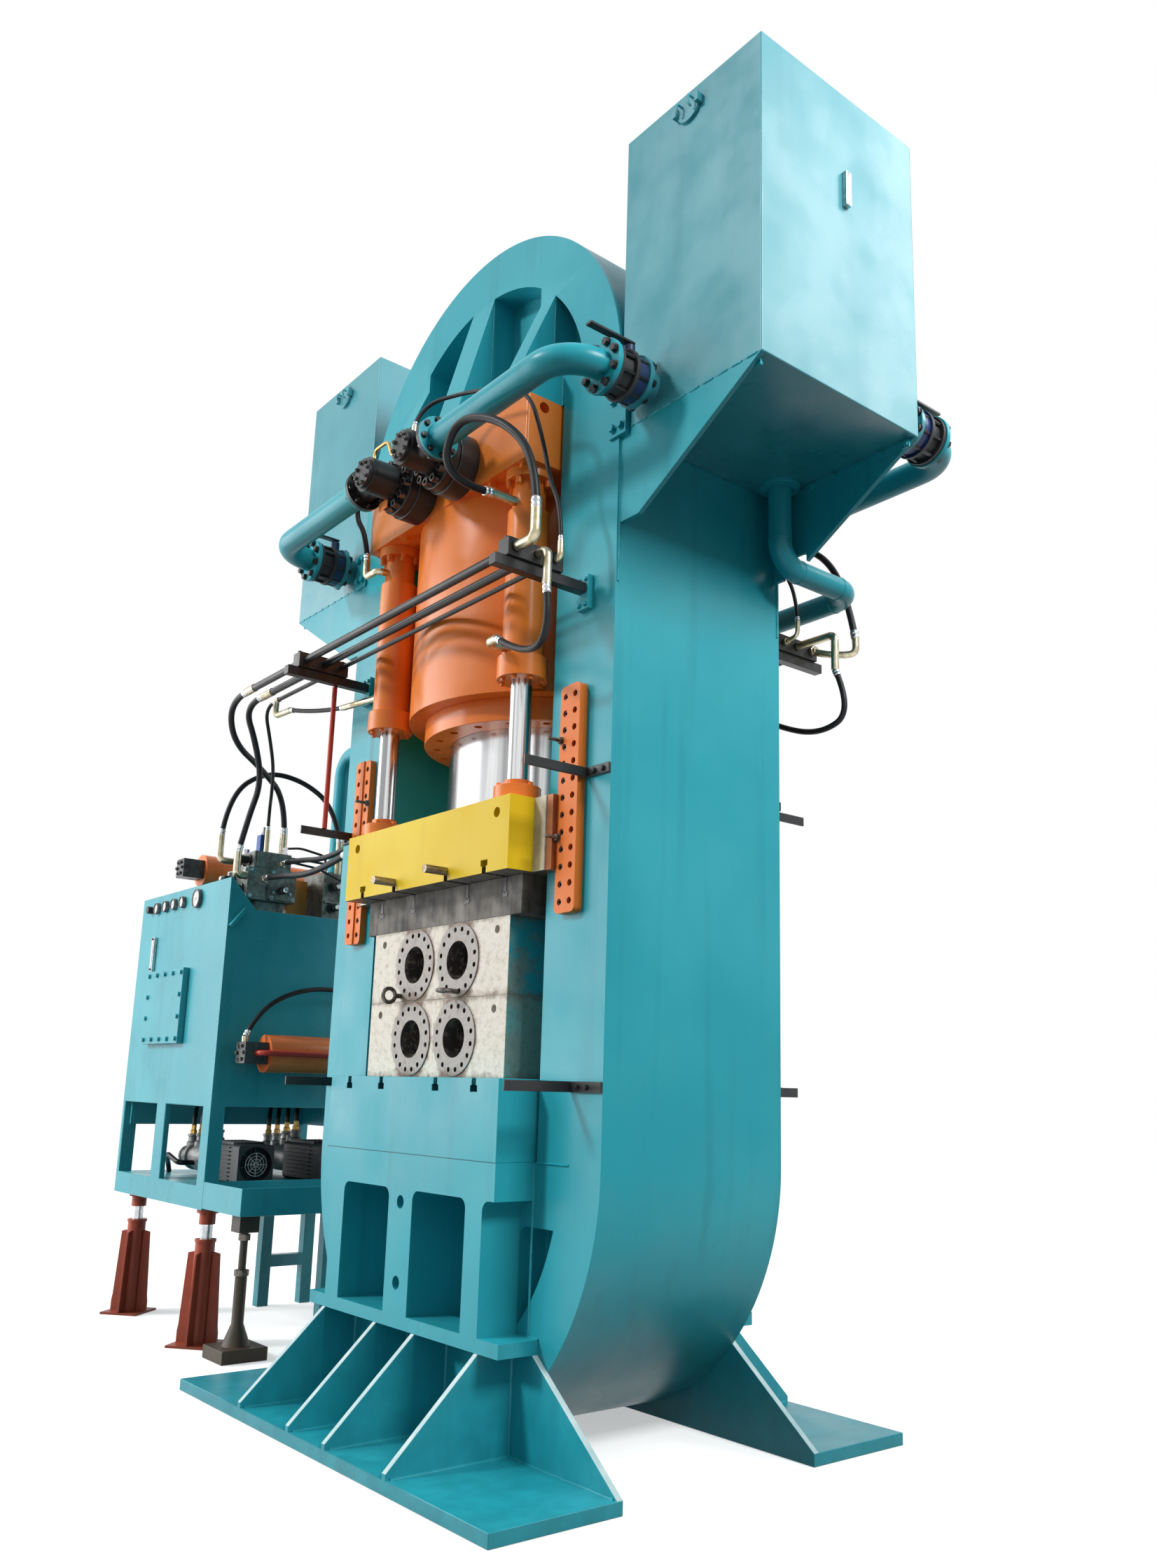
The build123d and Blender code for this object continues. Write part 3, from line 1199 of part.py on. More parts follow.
add("hose_fittings", fits)

# The origin goes to the floor under the middle of everything but the free hoses.
boxes = [s.bounding_box() for name, solids in nodes.items() if name not in hoses for s in solids]
low_x = min(b.min.X for b in boxes)
high_x = max(b.max.X for b in boxes)
low_y = min(b.min.Y for b in boxes)
high_y = max(b.max.Y for b in boxes)
low_z = min(b.min.Z for b in boxes)
shift = Pos(-(low_x + high_x) / 2, -(low_y + high_y) / 2, -low_z)
print("shift", -(low_x + high_x) / 2, -(low_y + high_y) / 2, -low_z)
print("size", high_x - low_x, high_y - low_y, max(b.max.Z for b in boxes) - low_z)
for name, solids in nodes.items():
    moved = [shift * s for s in solids]
    shape = moved[0] if len(moved) == 1 else Compound(children=moved)
    shape.label = name
    export_step(shape, os.path.join("parts", name + ".step"))
print("nodes", len(nodes))
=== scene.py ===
"""Looks of a ring-frame hydraulic press with overhead oil tanks and a power unit, in metres."""
import bmesh
import bpy
import math
from mathutils import Matrix, Vector


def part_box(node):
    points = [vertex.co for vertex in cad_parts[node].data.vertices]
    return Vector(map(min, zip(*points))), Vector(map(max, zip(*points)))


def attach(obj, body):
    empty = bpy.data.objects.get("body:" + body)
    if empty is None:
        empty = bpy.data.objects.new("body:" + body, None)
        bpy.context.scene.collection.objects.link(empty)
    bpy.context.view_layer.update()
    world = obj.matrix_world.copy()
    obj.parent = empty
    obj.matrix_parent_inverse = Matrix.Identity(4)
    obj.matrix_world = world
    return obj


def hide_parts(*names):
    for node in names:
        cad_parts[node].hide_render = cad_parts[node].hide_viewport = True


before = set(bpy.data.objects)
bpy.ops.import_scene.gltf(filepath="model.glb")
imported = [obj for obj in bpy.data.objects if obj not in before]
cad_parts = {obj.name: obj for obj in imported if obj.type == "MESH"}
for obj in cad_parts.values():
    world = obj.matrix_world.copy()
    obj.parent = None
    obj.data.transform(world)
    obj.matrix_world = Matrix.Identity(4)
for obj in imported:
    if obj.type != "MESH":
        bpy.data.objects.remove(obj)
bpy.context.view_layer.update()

# Stage: a plain pale floor and soft studio light, with the camera at the photograph's viewing angle.
# Floor and world are white to the camera and to mirror finishes; the floor keeps the shadow.
table_low, table_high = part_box("bolster_table")
axis_x = (table_low.x + table_high.x) / 2


def at(x, y, z):
    """Point given from the press axis on the floor."""
    return Vector((axis_x + x, y, z))


def put(tree, kind, inputs=None, **settings):
    """Adds one node; each input gets a plain value or the output of another node."""
    made = tree.nodes.new(kind)
    for key, value in settings.items():
        setattr(made, key, value)
    for key, value in (inputs or {}).items():
        if isinstance(value, bpy.types.NodeSocket):
            tree.links.new(value, made.inputs[key])
        else:
            made.inputs[key].default_value = value
    return made


def calc(tree, operation, *values):
    """One step of arithmetic on plain values and node outputs."""
    return put(tree, "ShaderNodeMath", dict(enumerate(values)), operation=operation).outputs[0]


def seen_directly(tree):
    """One for camera, mirror and glass rays, zero for light that bounces off matt surfaces."""
    path = put(tree, "ShaderNodeLightPath").outputs
    shiny = calc(tree, "MAXIMUM", path["Is Glossy Ray"], path["Is Transmission Ray"])
    return calc(tree, "MAXIMUM", path["Is Camera Ray"], shiny)


def blank_finish(name):
    """New material with an empty node tree; gives both."""
    made = bpy.data.materials.new(name)
    made.use_nodes = True
    made.node_tree.nodes.clear()
    return made, made.node_tree


def placed(name, data):
    """New object in the scene."""
    made = bpy.data.objects.new(name, data)
    bpy.context.scene.collection.objects.link(made)
    return made


ambient_tone = (0.95, 0.98, 1.0, 1.0)
ambient_strength = 0.40
world = bpy.data.worlds.new("studio_air")
world.use_nodes = True
air = world.node_tree
air.nodes.clear()
dim_air = put(air, "ShaderNodeBackground", {"Color": ambient_tone, "Strength": ambient_strength})
white_air = put(air, "ShaderNodeBackground", {"Color": (1, 1, 1, 1), "Strength": 1.0})
air_mix = put(air, "ShaderNodeMixShader", {0: seen_directly(air), 1: dim_air.outputs[0], 2: white_air.outputs[0]})
put(air, "ShaderNodeOutputWorld", {0: air_mix.outputs[0]})
bpy.context.scene.world = world
bpy.context.scene.view_settings.view_transform = "Standard"

floor_half = 60.0
floor_drop = 0.001
floor_mesh = bpy.data.meshes.new("floor")
floor_mesh.from_pydata([(-floor_half, -floor_half, -floor_drop), (floor_half, -floor_half, -floor_drop),
                        (floor_half, floor_half, -floor_drop), (-floor_half, floor_half, -floor_drop)],
                       [], [(0, 1, 2, 3)])
floor = placed("floor", floor_mesh)
pale_floor, ground = blank_finish("pale_floor")
lit_floor = put(ground, "ShaderNodeBsdfDiffuse", {"Color": (0.82, 0.82, 0.82, 1)})
floor_glow = put(ground, "ShaderNodeEmission", {"Color": (1, 1, 1, 1), "Strength": 0.47})
shown_floor = put(ground, "ShaderNodeAddShader", {0: lit_floor.outputs[0], 1: floor_glow.outputs[0]})
bounce_floor = put(ground, "ShaderNodeBsdfDiffuse", {"Color": (0.08, 0.08, 0.08, 1)})
floor_mix = put(ground, "ShaderNodeMixShader",
                {0: seen_directly(ground), 1: bounce_floor.outputs[0], 2: shown_floor.outputs[0]})
put(ground, "ShaderNodeOutputMaterial", {0: floor_mix.outputs[0]})
floor_mesh.materials.append(pale_floor)


def sun(name, travel, energy, spread):
    """Even light from far off, along a direction, with soft shadow edges."""
    light = bpy.data.lights.new(name, "SUN")
    light.energy = energy
    light.angle = math.radians(spread)
    placed(name, light).rotation_euler = Vector(travel).to_track_quat("-Z", "Y").to_euler()


def panel(name, place, target, size, energy):
    """Square soft box aimed at a point."""
    light = bpy.data.lights.new(name, "AREA")
    light.energy = energy
    light.size = size
    lamp = placed(name, light)
    lamp.location = place
    lamp.rotation_euler = (target - place).to_track_quat("-Z", "Y").to_euler()


sun("key_light", (0.34, 0.76, -0.55), energy=1.6, spread=8)
panel("front_panel", at(-8.2, -7.6, 4.4), at(0, 0, 2.8), size=8.0, energy=760)
panel("side_panel", at(9.2, 0.4, 9.6), at(1.2, 0, 3.2), size=3.0, energy=900)
panel("sky_panel", at(6.6, 6.2, 10.5), at(1.9, 0, 5.2), size=4.5, energy=300)

camera_yaw = math.radians(50.5236)
camera_pitch = math.radians(12.3181)
camera_roll = math.radians(1.4433)
forward = Vector((-math.sin(camera_yaw) * math.cos(camera_pitch),
                  math.cos(camera_yaw) * math.cos(camera_pitch), math.sin(camera_pitch)))
level_right = Vector((math.cos(camera_yaw), math.sin(camera_yaw), 0))
level_up = level_right.cross(forward)
camera_right = math.cos(camera_roll) * level_right + math.sin(camera_roll) * level_up
camera_up = math.cos(camera_roll) * level_up - math.sin(camera_roll) * level_right
camera_data = bpy.data.cameras.new("photo_view")
camera_data.sensor_width = 36.0
camera_data.lens = 28.547
camera_data.shift_x = -0.02029
camera_data.shift_y = 0.02230
camera_data.clip_end = 200
camera_place = at(5.1935, -3.815, 1.5338)
camera = placed("photo_view", camera_data)
turned = Matrix((camera_right, camera_up, -forward)).transposed()
camera.matrix_world = Matrix.Translation(camera_place) @ turned.to_4x4()
bpy.context.scene.camera = camera

# Ring frame: a stadium of thick welded plate with a straight window, recessed pockets and ribbed beams.
# It is sprayed teal enamel over filler, with a soft cloudy gloss and slight runs.


def ramp(tree, value, start, end, low=0.0, high=1.0, ease="LINEAR"):
    """Value stretched so that start to end becomes low to high, and held beyond them."""
    return put(tree, "ShaderNodeMapRange", {0: value, 1: start, 2: end, 3: low, 4: high},
               interpolation_type=ease).outputs[0]


def mixed(tree, share, first, second):
    """Colour between two colours."""
    return put(tree, "ShaderNodeMix", {0: share, 6: first, 7: second}, data_type="RGBA").outputs[2]


def noise(tree, place, scale, detail, roughness=0.5):
    """Random tone over the surface."""
    return put(tree, "ShaderNodeTexNoise", {"Vector": place, "Scale": scale, "Detail": detail,
                                            "Roughness": roughness}).outputs[0]


def effect_group(name, inputs):
    """Shader group that puts out Colour, Roughness and Height; gives it, its inputs and the object place."""
    group = bpy.data.node_groups.new(name, "ShaderNodeTree")
    for socket, kind in inputs.items():
        group.interface.new_socket(socket, in_out="INPUT", socket_type="NodeSocket" + kind)
    for socket, kind in (("Colour", "Color"), ("Roughness", "Float"), ("Height", "Float")):
        group.interface.new_socket(socket, in_out="OUTPUT", socket_type="NodeSocket" + kind)
    return group, put(group, "NodeGroupInput").outputs, put(group, "ShaderNodeTexCoord").outputs["Object"]


def paint_film_group():
    """Enamel: cloudy tone, vertical runs, floor dust with painted shade towards the floor, and a sprayed skin."""
    group, given, place = effect_group("paint_film", {"Paint": "Color", "Faded": "Color", "Grime And Shade": "Color",
                                                      "Runs": "Float", "Cloud Scale": "Float"})
    cloud = ramp(group, noise(group, place, given["Cloud Scale"], 5.0), 0.36, 0.68, ease="SMOOTHSTEP")
    tone = mixed(group, cloud, given["Paint"], given["Faded"])
    drawn = put(group, "ShaderNodeMapping", {"Vector": place, "Scale": (6.0, 6.0, 0.3)}).outputs[0]
    run_mask = ramp(group, noise(group, drawn, 1.7, 6.0), 0.53, 0.78)
    run_tone = mixed(group, calc(group, "MULTIPLY", run_mask, given["Runs"]), tone, given["Grime And Shade"])
    height = put(group, "ShaderNodeSeparateXYZ", {0: place}).outputs["Z"]
    # Darker towards the floor: floor dust and painted shade, mixed in with the grime colour.
    near_floor = ramp(group, height, 0.0, 0.85, 0.95, 0.0)
    dust_and_shade = calc(group, "MULTIPLY", near_floor, noise(group, place, 9.0, 6.0))
    skin = noise(group, place, 150.0, 2.0)
    relief = calc(group, "MULTIPLY_ADD", noise(group, place, 5.0, 2.0), 4.0, skin)
    put(group, "NodeGroupOutput", {"Colour": mixed(group, dust_and_shade, run_tone, given["Grime And Shade"]),
                                   "Roughness": noise(group, place, 3.5, 7.0), "Height": relief})
    return group


paint_film = paint_film_group()


def shaded(made, inputs):
    """Ends a material with one surface shader."""
    body = put(made.node_tree, "ShaderNodeBsdfPrincipled", inputs)
    put(made.node_tree, "ShaderNodeOutputMaterial", {0: body.outputs[0]})
    return made


def painted(name, paint, faded, grime_and_shade, runs=0.25, gloss=0.34, spread=0.16, cloud=1.1, bump=0.05, shine=0.36):
    """Painted finish: colours are paint, weathered paint and grime that also paints shade low down; gloss is the
    middle roughness.
    """
    made, tree = blank_finish(name)
    film = put(tree, "ShaderNodeGroup", {"Paint": (*paint, 1), "Faded": (*faded, 1), "Grime And Shade": (*grime_and_shade, 1),
                                         "Runs": runs, "Cloud Scale": cloud}, node_tree=paint_film).outputs
    rough = ramp(tree, film["Roughness"], 0.3, 0.7, gloss - spread / 2, gloss + spread / 2)
    skin = put(tree, "ShaderNodeBump", {"Height": film["Height"], "Strength": bump, "Distance": 0.002})
    return shaded(made, {"Base Color": film["Colour"], "Roughness": rough, "Normal": skin.outputs[0],
                         "Specular IOR Level": shine})


def cad_solids(node):
    """The separate solids of a CAD node, each as (points, faces by point number, box centre, box size)."""
    source = bmesh.new()
    source.from_mesh(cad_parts[node].data)
    bmesh.ops.remove_doubles(source, verts=source.verts, dist=1e-5)
    seen = set()
    solids = []
    for start in source.verts:
        if start in seen:
            continue
        seen.add(start)
        stack = [start]
        group = []
        while stack:
            point = stack.pop()
            group.append(point)
            for edge in point.link_edges:
                other = edge.other_vert(point)
                if other not in seen:
                    seen.add(other)
                    stack.append(other)
        number = {point: i for i, point in enumerate(group)}
        points = [point.co.copy() for point in group]
        faces = [[number[v] for v in face.verts] for face in {f for p in group for f in p.link_faces}]
        low = Vector(map(min, *points))
        high = Vector(map(max, *points))
        solids.append((points, faces, (low + high) / 2, high - low))
    source.free()
    return solids


def show(name, mesh, finishes, body="base", stands_for=()):
    """Puts a finished mesh in the scene, riding on its body."""
    piece = placed(name, mesh)
    for finish in finishes if isinstance(finishes, list) else [finishes]:
        mesh.materials.append(finish)
    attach(piece, body)
    if stands_for:
        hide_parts(*stands_for)
    return piece


def smooth(mesh, angle=32):
    """Smooth shading with sharp edges above the angle."""
    mesh.polygons.foreach_set("use_smooth", [True] * len(mesh.polygons))
    mesh.set_sharp_from_angle(angle=math.radians(angle))


def soften(piece, width, method):
    """Rounds edges slightly: those that carry a weight, or all that are sharp."""
    soft = piece.modifiers.new("softened_edges", "BEVEL")
    soft.width = width
    soft.segments = 2
    soft.limit_method = method
    soft.angle_limit = math.radians(35)
    soft.harden_normals = True


def dressed(name, finishes, body="base", edge=0.004, node=None, keep=None, second=None):
    """Copy of the CAD node of that name, or of another, with softened edges.

    keep picks solids by box centre and size; second gives a face its finish number.
    """
    node = node or name
    shape = bmesh.new()
    for points, faces, centre, size in cad_solids(node):
        if keep and not keep(centre, size):
            continue
        verts = [shape.verts.new(p) for p in points]
        for face in faces:
            shape.faces.new([verts[i] for i in face])
    shape.normal_update()
    bmesh.ops.dissolve_limit(shape, angle_limit=math.radians(0.4), verts=shape.verts, edges=shape.edges)
    shape.normal_update()
    weight = shape.edges.layers.float.new("bevel_weight_edge")
    for line in shape.edges:
        if len(line.link_faces) == 2 and line.is_convex and line.calc_length() > 4 * edge:
            if line.calc_face_angle() > math.radians(25):
                line[weight] = 1.0
    if second:
        for face in shape.faces:
            face.material_index = int(second(face))
    mesh = bpy.data.meshes.new(name)
    shape.to_mesh(mesh)
    shape.free()
    smooth(mesh)
    piece = show(name, mesh, finishes, body, [node])
    if edge:
        soften(piece, edge, "WEIGHT")
    return piece


def growth_tree(name, inputs):
    """Geometry node tree that grows a finished shape on a mesh; gives the tree and its named inputs."""
    tree = bpy.data.node_groups.new(name, "GeometryNodeTree")
    for socket, kind in {"Geometry": "Geometry", **inputs, "Finish": "Material"}.items():
        tree.interface.new_socket(socket, in_out="INPUT", socket_type="NodeSocket" + kind)
    tree.interface.new_socket("Geometry", in_out="OUTPUT", socket_type="NodeSocketGeometry")
    return tree, put(tree, "NodeGroupInput").outputs


def close_tree(tree, shape, finish):
    """Ends a tree with real meshes in their finish."""
    real = put(tree, "GeometryNodeRealizeInstances", {0: shape})
    finished = put(tree, "GeometryNodeSetMaterial", {"Geometry": real.outputs[0], "Material": finish})
    put(tree, "NodeGroupOutput", {0: finished.outputs[0]})
    return tree


def weld_tree():
    """Weld bead along the edges of a wire mesh, with ripples of fixed pitch."""
    tree, given = growth_tree("weld_bead", {"Bead Radius": "Float", "Ripple Pitch": "Float"})
    wire = put(tree, "GeometryNodeMeshToCurve", {0: given["Geometry"]})
    steps = put(tree, "GeometryNodeResampleCurve", {"Curve": wire.outputs[0], "Length": given["Ripple Pitch"]},
                mode="LENGTH")
    phase = calc(tree, "MULTIPLY", put(tree, "GeometryNodeInputIndex").outputs[0], 2.2)
    size = calc(tree, "MULTIPLY_ADD", calc(tree, "SINE", phase), 0.22, 1.0)
    rippled = put(tree, "GeometryNodeSetCurveRadius", {"Curve": steps.outputs[0], "Radius": size})
    ring = put(tree, "GeometryNodeCurvePrimitiveCircle", {"Resolution": 6, "Radius": given["Bead Radius"]})
    bead = put(tree, "GeometryNodeCurveToMesh", {"Curve": rippled.outputs[0], "Profile Curve": ring.outputs[0],
                                                 "Fill Caps": True})
    return close_tree(tree, bead.outputs[0], given["Finish"])


def grown(name, tree, mesh, values):
    """Runs a geometry node tree on a mesh and gives back the plain mesh it makes."""
    seedling = placed(name, mesh)
    maker = seedling.modifiers.new(tree.name, "NODES")
    maker.node_group = tree
    for item in tree.interface.items_tree:
        if item.in_out == "INPUT" and item.name in values:
            maker[item.identifier] = values[item.name]
    made = bpy.data.meshes.new_from_object(seedling.evaluated_get(bpy.context.evaluated_depsgraph_get()))
    made.name = name
    seedling.modifiers.remove(maker)
    bpy.data.objects.remove(seedling)
    return made


weld_bead = weld_tree()


def welds(name, runs, finish, radius=0.006, body="base"):
    """Weld beads along runs of points."""
    points = []
    edges = []
    for run in runs:
        edges += [(len(points) + i, len(points) + i + 1) for i in range(len(run) - 1)]
        points += run
    wire = bpy.data.meshes.new(name)
    wire.from_pydata(points, edges, [])
    mesh = grown(name, weld_bead, wire, {"Bead Radius": radius, "Ripple Pitch": 2.2 * radius, "Finish": finish})
    smooth(mesh, 60)
    return show(name, mesh, [], body)


teal = painted("teal_enamel", (0.014, 0.335, 0.410), (0.030, 0.385, 0.455), (0.008, 0.165, 0.21), runs=0.30,
               shine=0.28)
ring_face = 0.530
beam_front = 0.732
beam_side = 0.753
window_side = 0.770
beam_low = 1.225
flange_top = 0.524
rib_foot = 4.97
rib_top = 5.40
upright_seams = ((beam_side, flange_top, beam_low), (beam_side, 4.80, 4.965), (0.104, rib_foot, 5.68),
                 (0.540, rib_foot, rib_top), (0.668, rib_foot, rib_top))
level_seams = ((0.824, 0.668, flange_top), (window_side, 0.99, beam_low))
dressed("ring_frame", teal, node="press_frame", edge=0.005)
ring_seams = []
for side in (-1, 1):
    for face in (-1, 1):
        ring_seams += [[at(side * x, face * ring_face, z) for z in ends] for x, *ends in upright_seams]
        ring_seams += [[at(side * x, face * ring_face, z) for x in ends] for *ends, z in level_seams]
welds("ring_seams", ring_seams, teal, radius=0.006)

# Feet: two long floor plates with a trapezoid web and four gussets each, flame cut and fillet welded.
# Only the cut edges of webs and gussets show pale: partly bare where the paint is lost, partly a painted highlight on
# their sloped faces.
bare_and_lit_edge = painted("bare_and_lit_edge", (0.55, 0.66, 0.66), (0.70, 0.76, 0.75), (0.18, 0.42, 0.45), runs=0.55,
                      gloss=0.55, cloud=14.0, bump=0.4)
# The pale edge colour is partly bare plate and partly painted highlight.
dressed("base_feet", [teal, bare_and_lit_edge], edge=0.004,
        second=lambda face: 0.2 < abs(face.normal.z) < 0.97 and face.calc_area() < 0.06)
foot_top = 0.054
foot_edge = 1.134
web_front = 0.560
gusset_half = 0.015
web_half = 1.36
gusset_top = 0.46
gusset_end = foot_edge - 0.02
gussets = (-0.669, -0.169, 0.169, 0.669)
foot_seams = []
for face in (-1, 1):
    foot_seams.append([at(x, face * web_front, foot_top) for x in (-web_half, web_half)])
    for x in (centre + side for centre in gussets for side in (-gusset_half, gusset_half)):
        corner = at(x, face * web_front, foot_top)
        foot_seams += [[corner, at(x, face * gusset_end, foot_top)], [corner, at(x, face * web_front, gusset_top)]]
welds("foot_seams", foot_seams, teal, radius=0.008)

# Bolster table: a planed block on the lower beam with four T slots for clamping bolts.
# It is painted with the frame; the slots are painted dark as painted shade inside them.
# Slot walls and floors get near black teal: painted shade in the slots.
slot_shade = painted("slot_shade", (0.006, 0.075, 0.095), (0.010, 0.095, 0.115), (0.006, 0.03, 0.035), runs=0.5,
                     gloss=0.5, cloud=8.0)


def in_slot(face):
    """Walls and floors of the T slots in the table's top."""
    middle = face.calc_center_median()
    return (middle.z > beam_low + 0.20 and abs(middle.x - axis_x) < 0.70
            and face.normal.z < 0.9 and abs(face.normal.y) < 0.3)


dressed("bolster_table", [teal, slot_shade], edge=0.003, second=in_slot)


def slab(shape, low, high):
    """Adds a rectangular block to a mesh under construction."""
    corners = [shape.verts.new((x, y, z)) for z in (low[2], high[2]) for y in (low[1], high[1])
               for x in (low[0], high[0])]
    for a, b, c, d in ((0, 2, 3, 1), (4, 5, 7, 6), (0, 1, 5, 4), (2, 6, 7, 3), (0, 4, 6, 2), (1, 3, 7, 5)):
        shape.faces.new((corners[a], corners[b], corners[c], corners[d]))


def built(name, shape, finishes, body="base", edge=0.0, stands_for=()):
    """Turns a mesh under construction into a piece with softened edges."""
    shape.normal_update()
    mesh = bpy.data.meshes.new(name)
    shape.to_mesh(mesh)
    shape.free()
    smooth(mesh)
    piece = show(name, mesh, finishes, body, stands_for)
    if edge:
        soften(piece, edge, "ANGLE")
    return piece


# Dark dashes along the joint of table and beam are painted shade in the seam gap.
gap_pitch = 0.0205
gap_half = 0.0085
gap_height = 0.0016
seam_gap = bmesh.new()
for face in (-1, 1):
    near, far = sorted((face * (beam_front - 0.004), face * (beam_front + 0.0006)))
    for x in (step * gap_pitch for step in range(-36, 37)):
        slab(seam_gap, at(x - gap_half, near, beam_low - gap_height), at(x + gap_half, far, beam_low + gap_height))
built("table_seam", seam_gap, slot_shade)

# Dies: two cast blocks with flanged cross bores, bolt circles and lifting holes, wiped with pale
# rust preventer that has gone brown round the bolted rings; the sides are dark oily steel with a painted
# teal reflection of the frame, and the bore walls are painted shade.


def cast_stain_group():
    """Stained casting: mottled wipe, blotches and a pitted skin, with a mask for where rust gathers."""
    group, given, place = effect_group("cast_stain", {"Wipe": "Color", "Bare": "Color", "Rust": "Color",
                                                      "Gather": "Float"})
    mottle = noise(group, place, 26.0, 9.0, 0.72)
    tone = mixed(group, ramp(group, mottle, 0.50, 0.70), given["Wipe"], given["Bare"])
    reach = calc(group, "ADD", noise(group, place, 24.0, 7.0, 0.7), given["Gather"])
    stained = mixed(group, ramp(group, reach, 0.66, 1.06), tone, given["Rust"])
    specks = ramp(group, noise(group, place, 95.0, 4.0, 0.7), 0.60, 0.74, 0.0, 0.55)
    put(group, "NodeGroupOutput", {"Colour": mixed(group, specks, stained, given["Rust"]), "Roughness": mottle,
                                   "Height": noise(group, place, 58.0, 6.0)})
    return group


cast_stain = cast_stain_group()
bore_x = 0.195
ring_radius = 0.177


def die_finish(name, node, side_reflection_teal):
    """Pale wiped casting with grey rings, brown halos, painted shade in the bores and brushed sides that carry a
    painted teal reflection, set out from the die's own box.
    """
    pale_wipe, ring_grey = (0.69, 0.645, 0.555, 1), (0.36, 0.330, 0.308, 1)
    bore_shade, side_grey = (0.040, 0.038, 0.036, 1), (0.20, 0.29, 0.26, 1)
    bare_face, bare_side = (0.50, 0.455, 0.375, 1), (0.10, 0.20, 0.20, 1)
    rust = (0.120, 0.066, 0.034, 1)
    low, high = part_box(node)
    made, tree = blank_finish(name)
    spot = put(tree, "ShaderNodeTexCoord").outputs["Object"]
    place = put(tree, "ShaderNodeSeparateXYZ", {0: spot}).outputs
    normal = put(tree, "ShaderNodeSeparateXYZ", {0: put(tree, "ShaderNodeNewGeometry").outputs["Normal"]}).outputs
    across = calc(tree, "ABSOLUTE", calc(tree, "SUBTRACT", place["X"], axis_x))
    from_bore = put(tree, "ShaderNodeCombineXYZ", {0: calc(tree, "SUBTRACT", across, bore_x),
                                                   1: calc(tree, "SUBTRACT", place["Z"], (low.z + high.z) / 2)})
    reach = put(tree, "ShaderNodeVectorMath", {0: from_bore.outputs[0]}, operation="LENGTH").outputs["Value"]
    ring_mask = ramp(tree, reach, ring_radius + 0.001, ring_radius - 0.003)
    off_ring = ramp(tree, ring_mask, 0.0, 1.0, 1.0, 0.30)
    edges = calc(tree, "ADD", ramp(tree, place["Z"], low.z, low.z + 0.05, 0.40, 0.0),
                 ramp(tree, place["Z"], high.z - 0.035, high.z, 0.0, 0.40))
    outline = calc(tree, "MULTIPLY_ADD", ramp(tree, reach, 0.212, 0.174, 0.0, 0.46), off_ring, edges)
    wall_mask = ramp(tree, calc(tree, "ABSOLUTE", normal["Z"]), 0.7, 0.4)
    side_mask = calc(tree, "MULTIPLY", ramp(tree, calc(tree, "ABSOLUTE", normal["X"]), 0.45, 0.75),
                     ramp(tree, across, 0.52, 0.56))
    inside_mask = calc(tree, "MULTIPLY", ramp(tree, normal["Y"], -0.6, -0.3), ramp(tree, normal["Y"], 0.6, 0.3))
    # Bore walls are painted near black: painted shade inside the bores.
    bore_shade_mask = calc(tree, "MULTIPLY", inside_mask, ramp(tree, reach, ring_radius + 0.004, ring_radius - 0.002))
    bored = mixed(tree, bore_shade_mask, mixed(tree, ring_mask, pale_wipe, ring_grey), bore_shade)
    # The sides' teal is a painted reflection of the frame's teal columns.
    side_reflection_tone = mixed(tree, ramp(tree, noise(tree, spot, 4.5, 5.0), 0.44, 0.56), side_reflection_teal, side_grey)
    stain = put(tree, "ShaderNodeGroup", {"Wipe": mixed(tree, side_mask, bored, side_reflection_tone),
                                          "Bare": mixed(tree, side_mask, bare_face, bare_side), "Rust": rust,
                                          "Gather": calc(tree, "MULTIPLY", outline, wall_mask)},
                node_tree=cast_stain).outputs
    rough = ramp(tree, stain["Roughness"], 0.3, 0.7, 0.42, 0.68)
    pits = put(tree, "ShaderNodeBump", {"Height": stain["Height"], "Strength": 0.55, "Distance": 0.005})
    return shaded(made, {"Base Color": stain["Colour"], "Roughness": rough, "Normal": pits.outputs[0]})


# Each die's side colour is a painted teal reflection of the frame.
dressed("lower_die", die_finish("lower_die_iron", "lower_die", (0.13, 0.35, 0.34, 1)),
        edge=0.003)
dressed("upper_die", die_finish("upper_die_iron", "upper_die", (0.012, 0.34, 0.42, 1)),
        body="slide", edge=0.003)


def metal_grain_group():
    """Drawn or ground metal: fine lines along one direction, smears and a broken sheen."""
    group, given, place = effect_group("metal_grain", {"Bright": "Color", "Dull": "Color", "Stretch": "Vector"})
    drawn = put(group, "ShaderNodeVectorMath", {0: place, 1: given["Stretch"]}, operation="MULTIPLY").outputs[0]
    lines = noise(group, drawn, 1.0, 7.0, 0.6)
    smear = noise(group, place, 8.0, 6.0)
    mask = ramp(group, calc(group, "ADD", lines, smear), 0.78, 1.2)
    put(group, "NodeGroupOutput", {"Colour": mixed(group, mask, given["Bright"], given["Dull"]), "Roughness": smear,
                                   "Height": lines})
    return group


metal_grain = metal_grain_group()


def metal(name, bright, dull, stretch=(40.0, 40.0, 40.0), gloss=0.32, metallic=1.0, bump=0.05):
    """Bare or plated metal with a grain along the least stretched direction."""
    made, tree = blank_finish(name)
    grain = put(tree, "ShaderNodeGroup", {"Bright": (*bright, 1), "Dull": (*dull, 1), "Stretch": stretch},
                node_tree=metal_grain).outputs
    rough = ramp(tree, grain["Roughness"], 0.3, 0.7, gloss - 0.08, gloss + 0.12)
    lines = put(tree, "ShaderNodeBump", {"Height": grain["Height"], "Strength": bump, "Distance": 0.001})
    return shaded(made, {"Base Color": grain["Colour"], "Roughness": rough, "Metallic": metallic,
                         "Normal": lines.outputs[0]})


dark_steel = metal("oiled_steel", (0.20, 0.18, 0.155), (0.045, 0.038, 0.032), gloss=0.42, metallic=0.7)
dressed("eye_bolts", dark_steel, body="slide", edge=0)
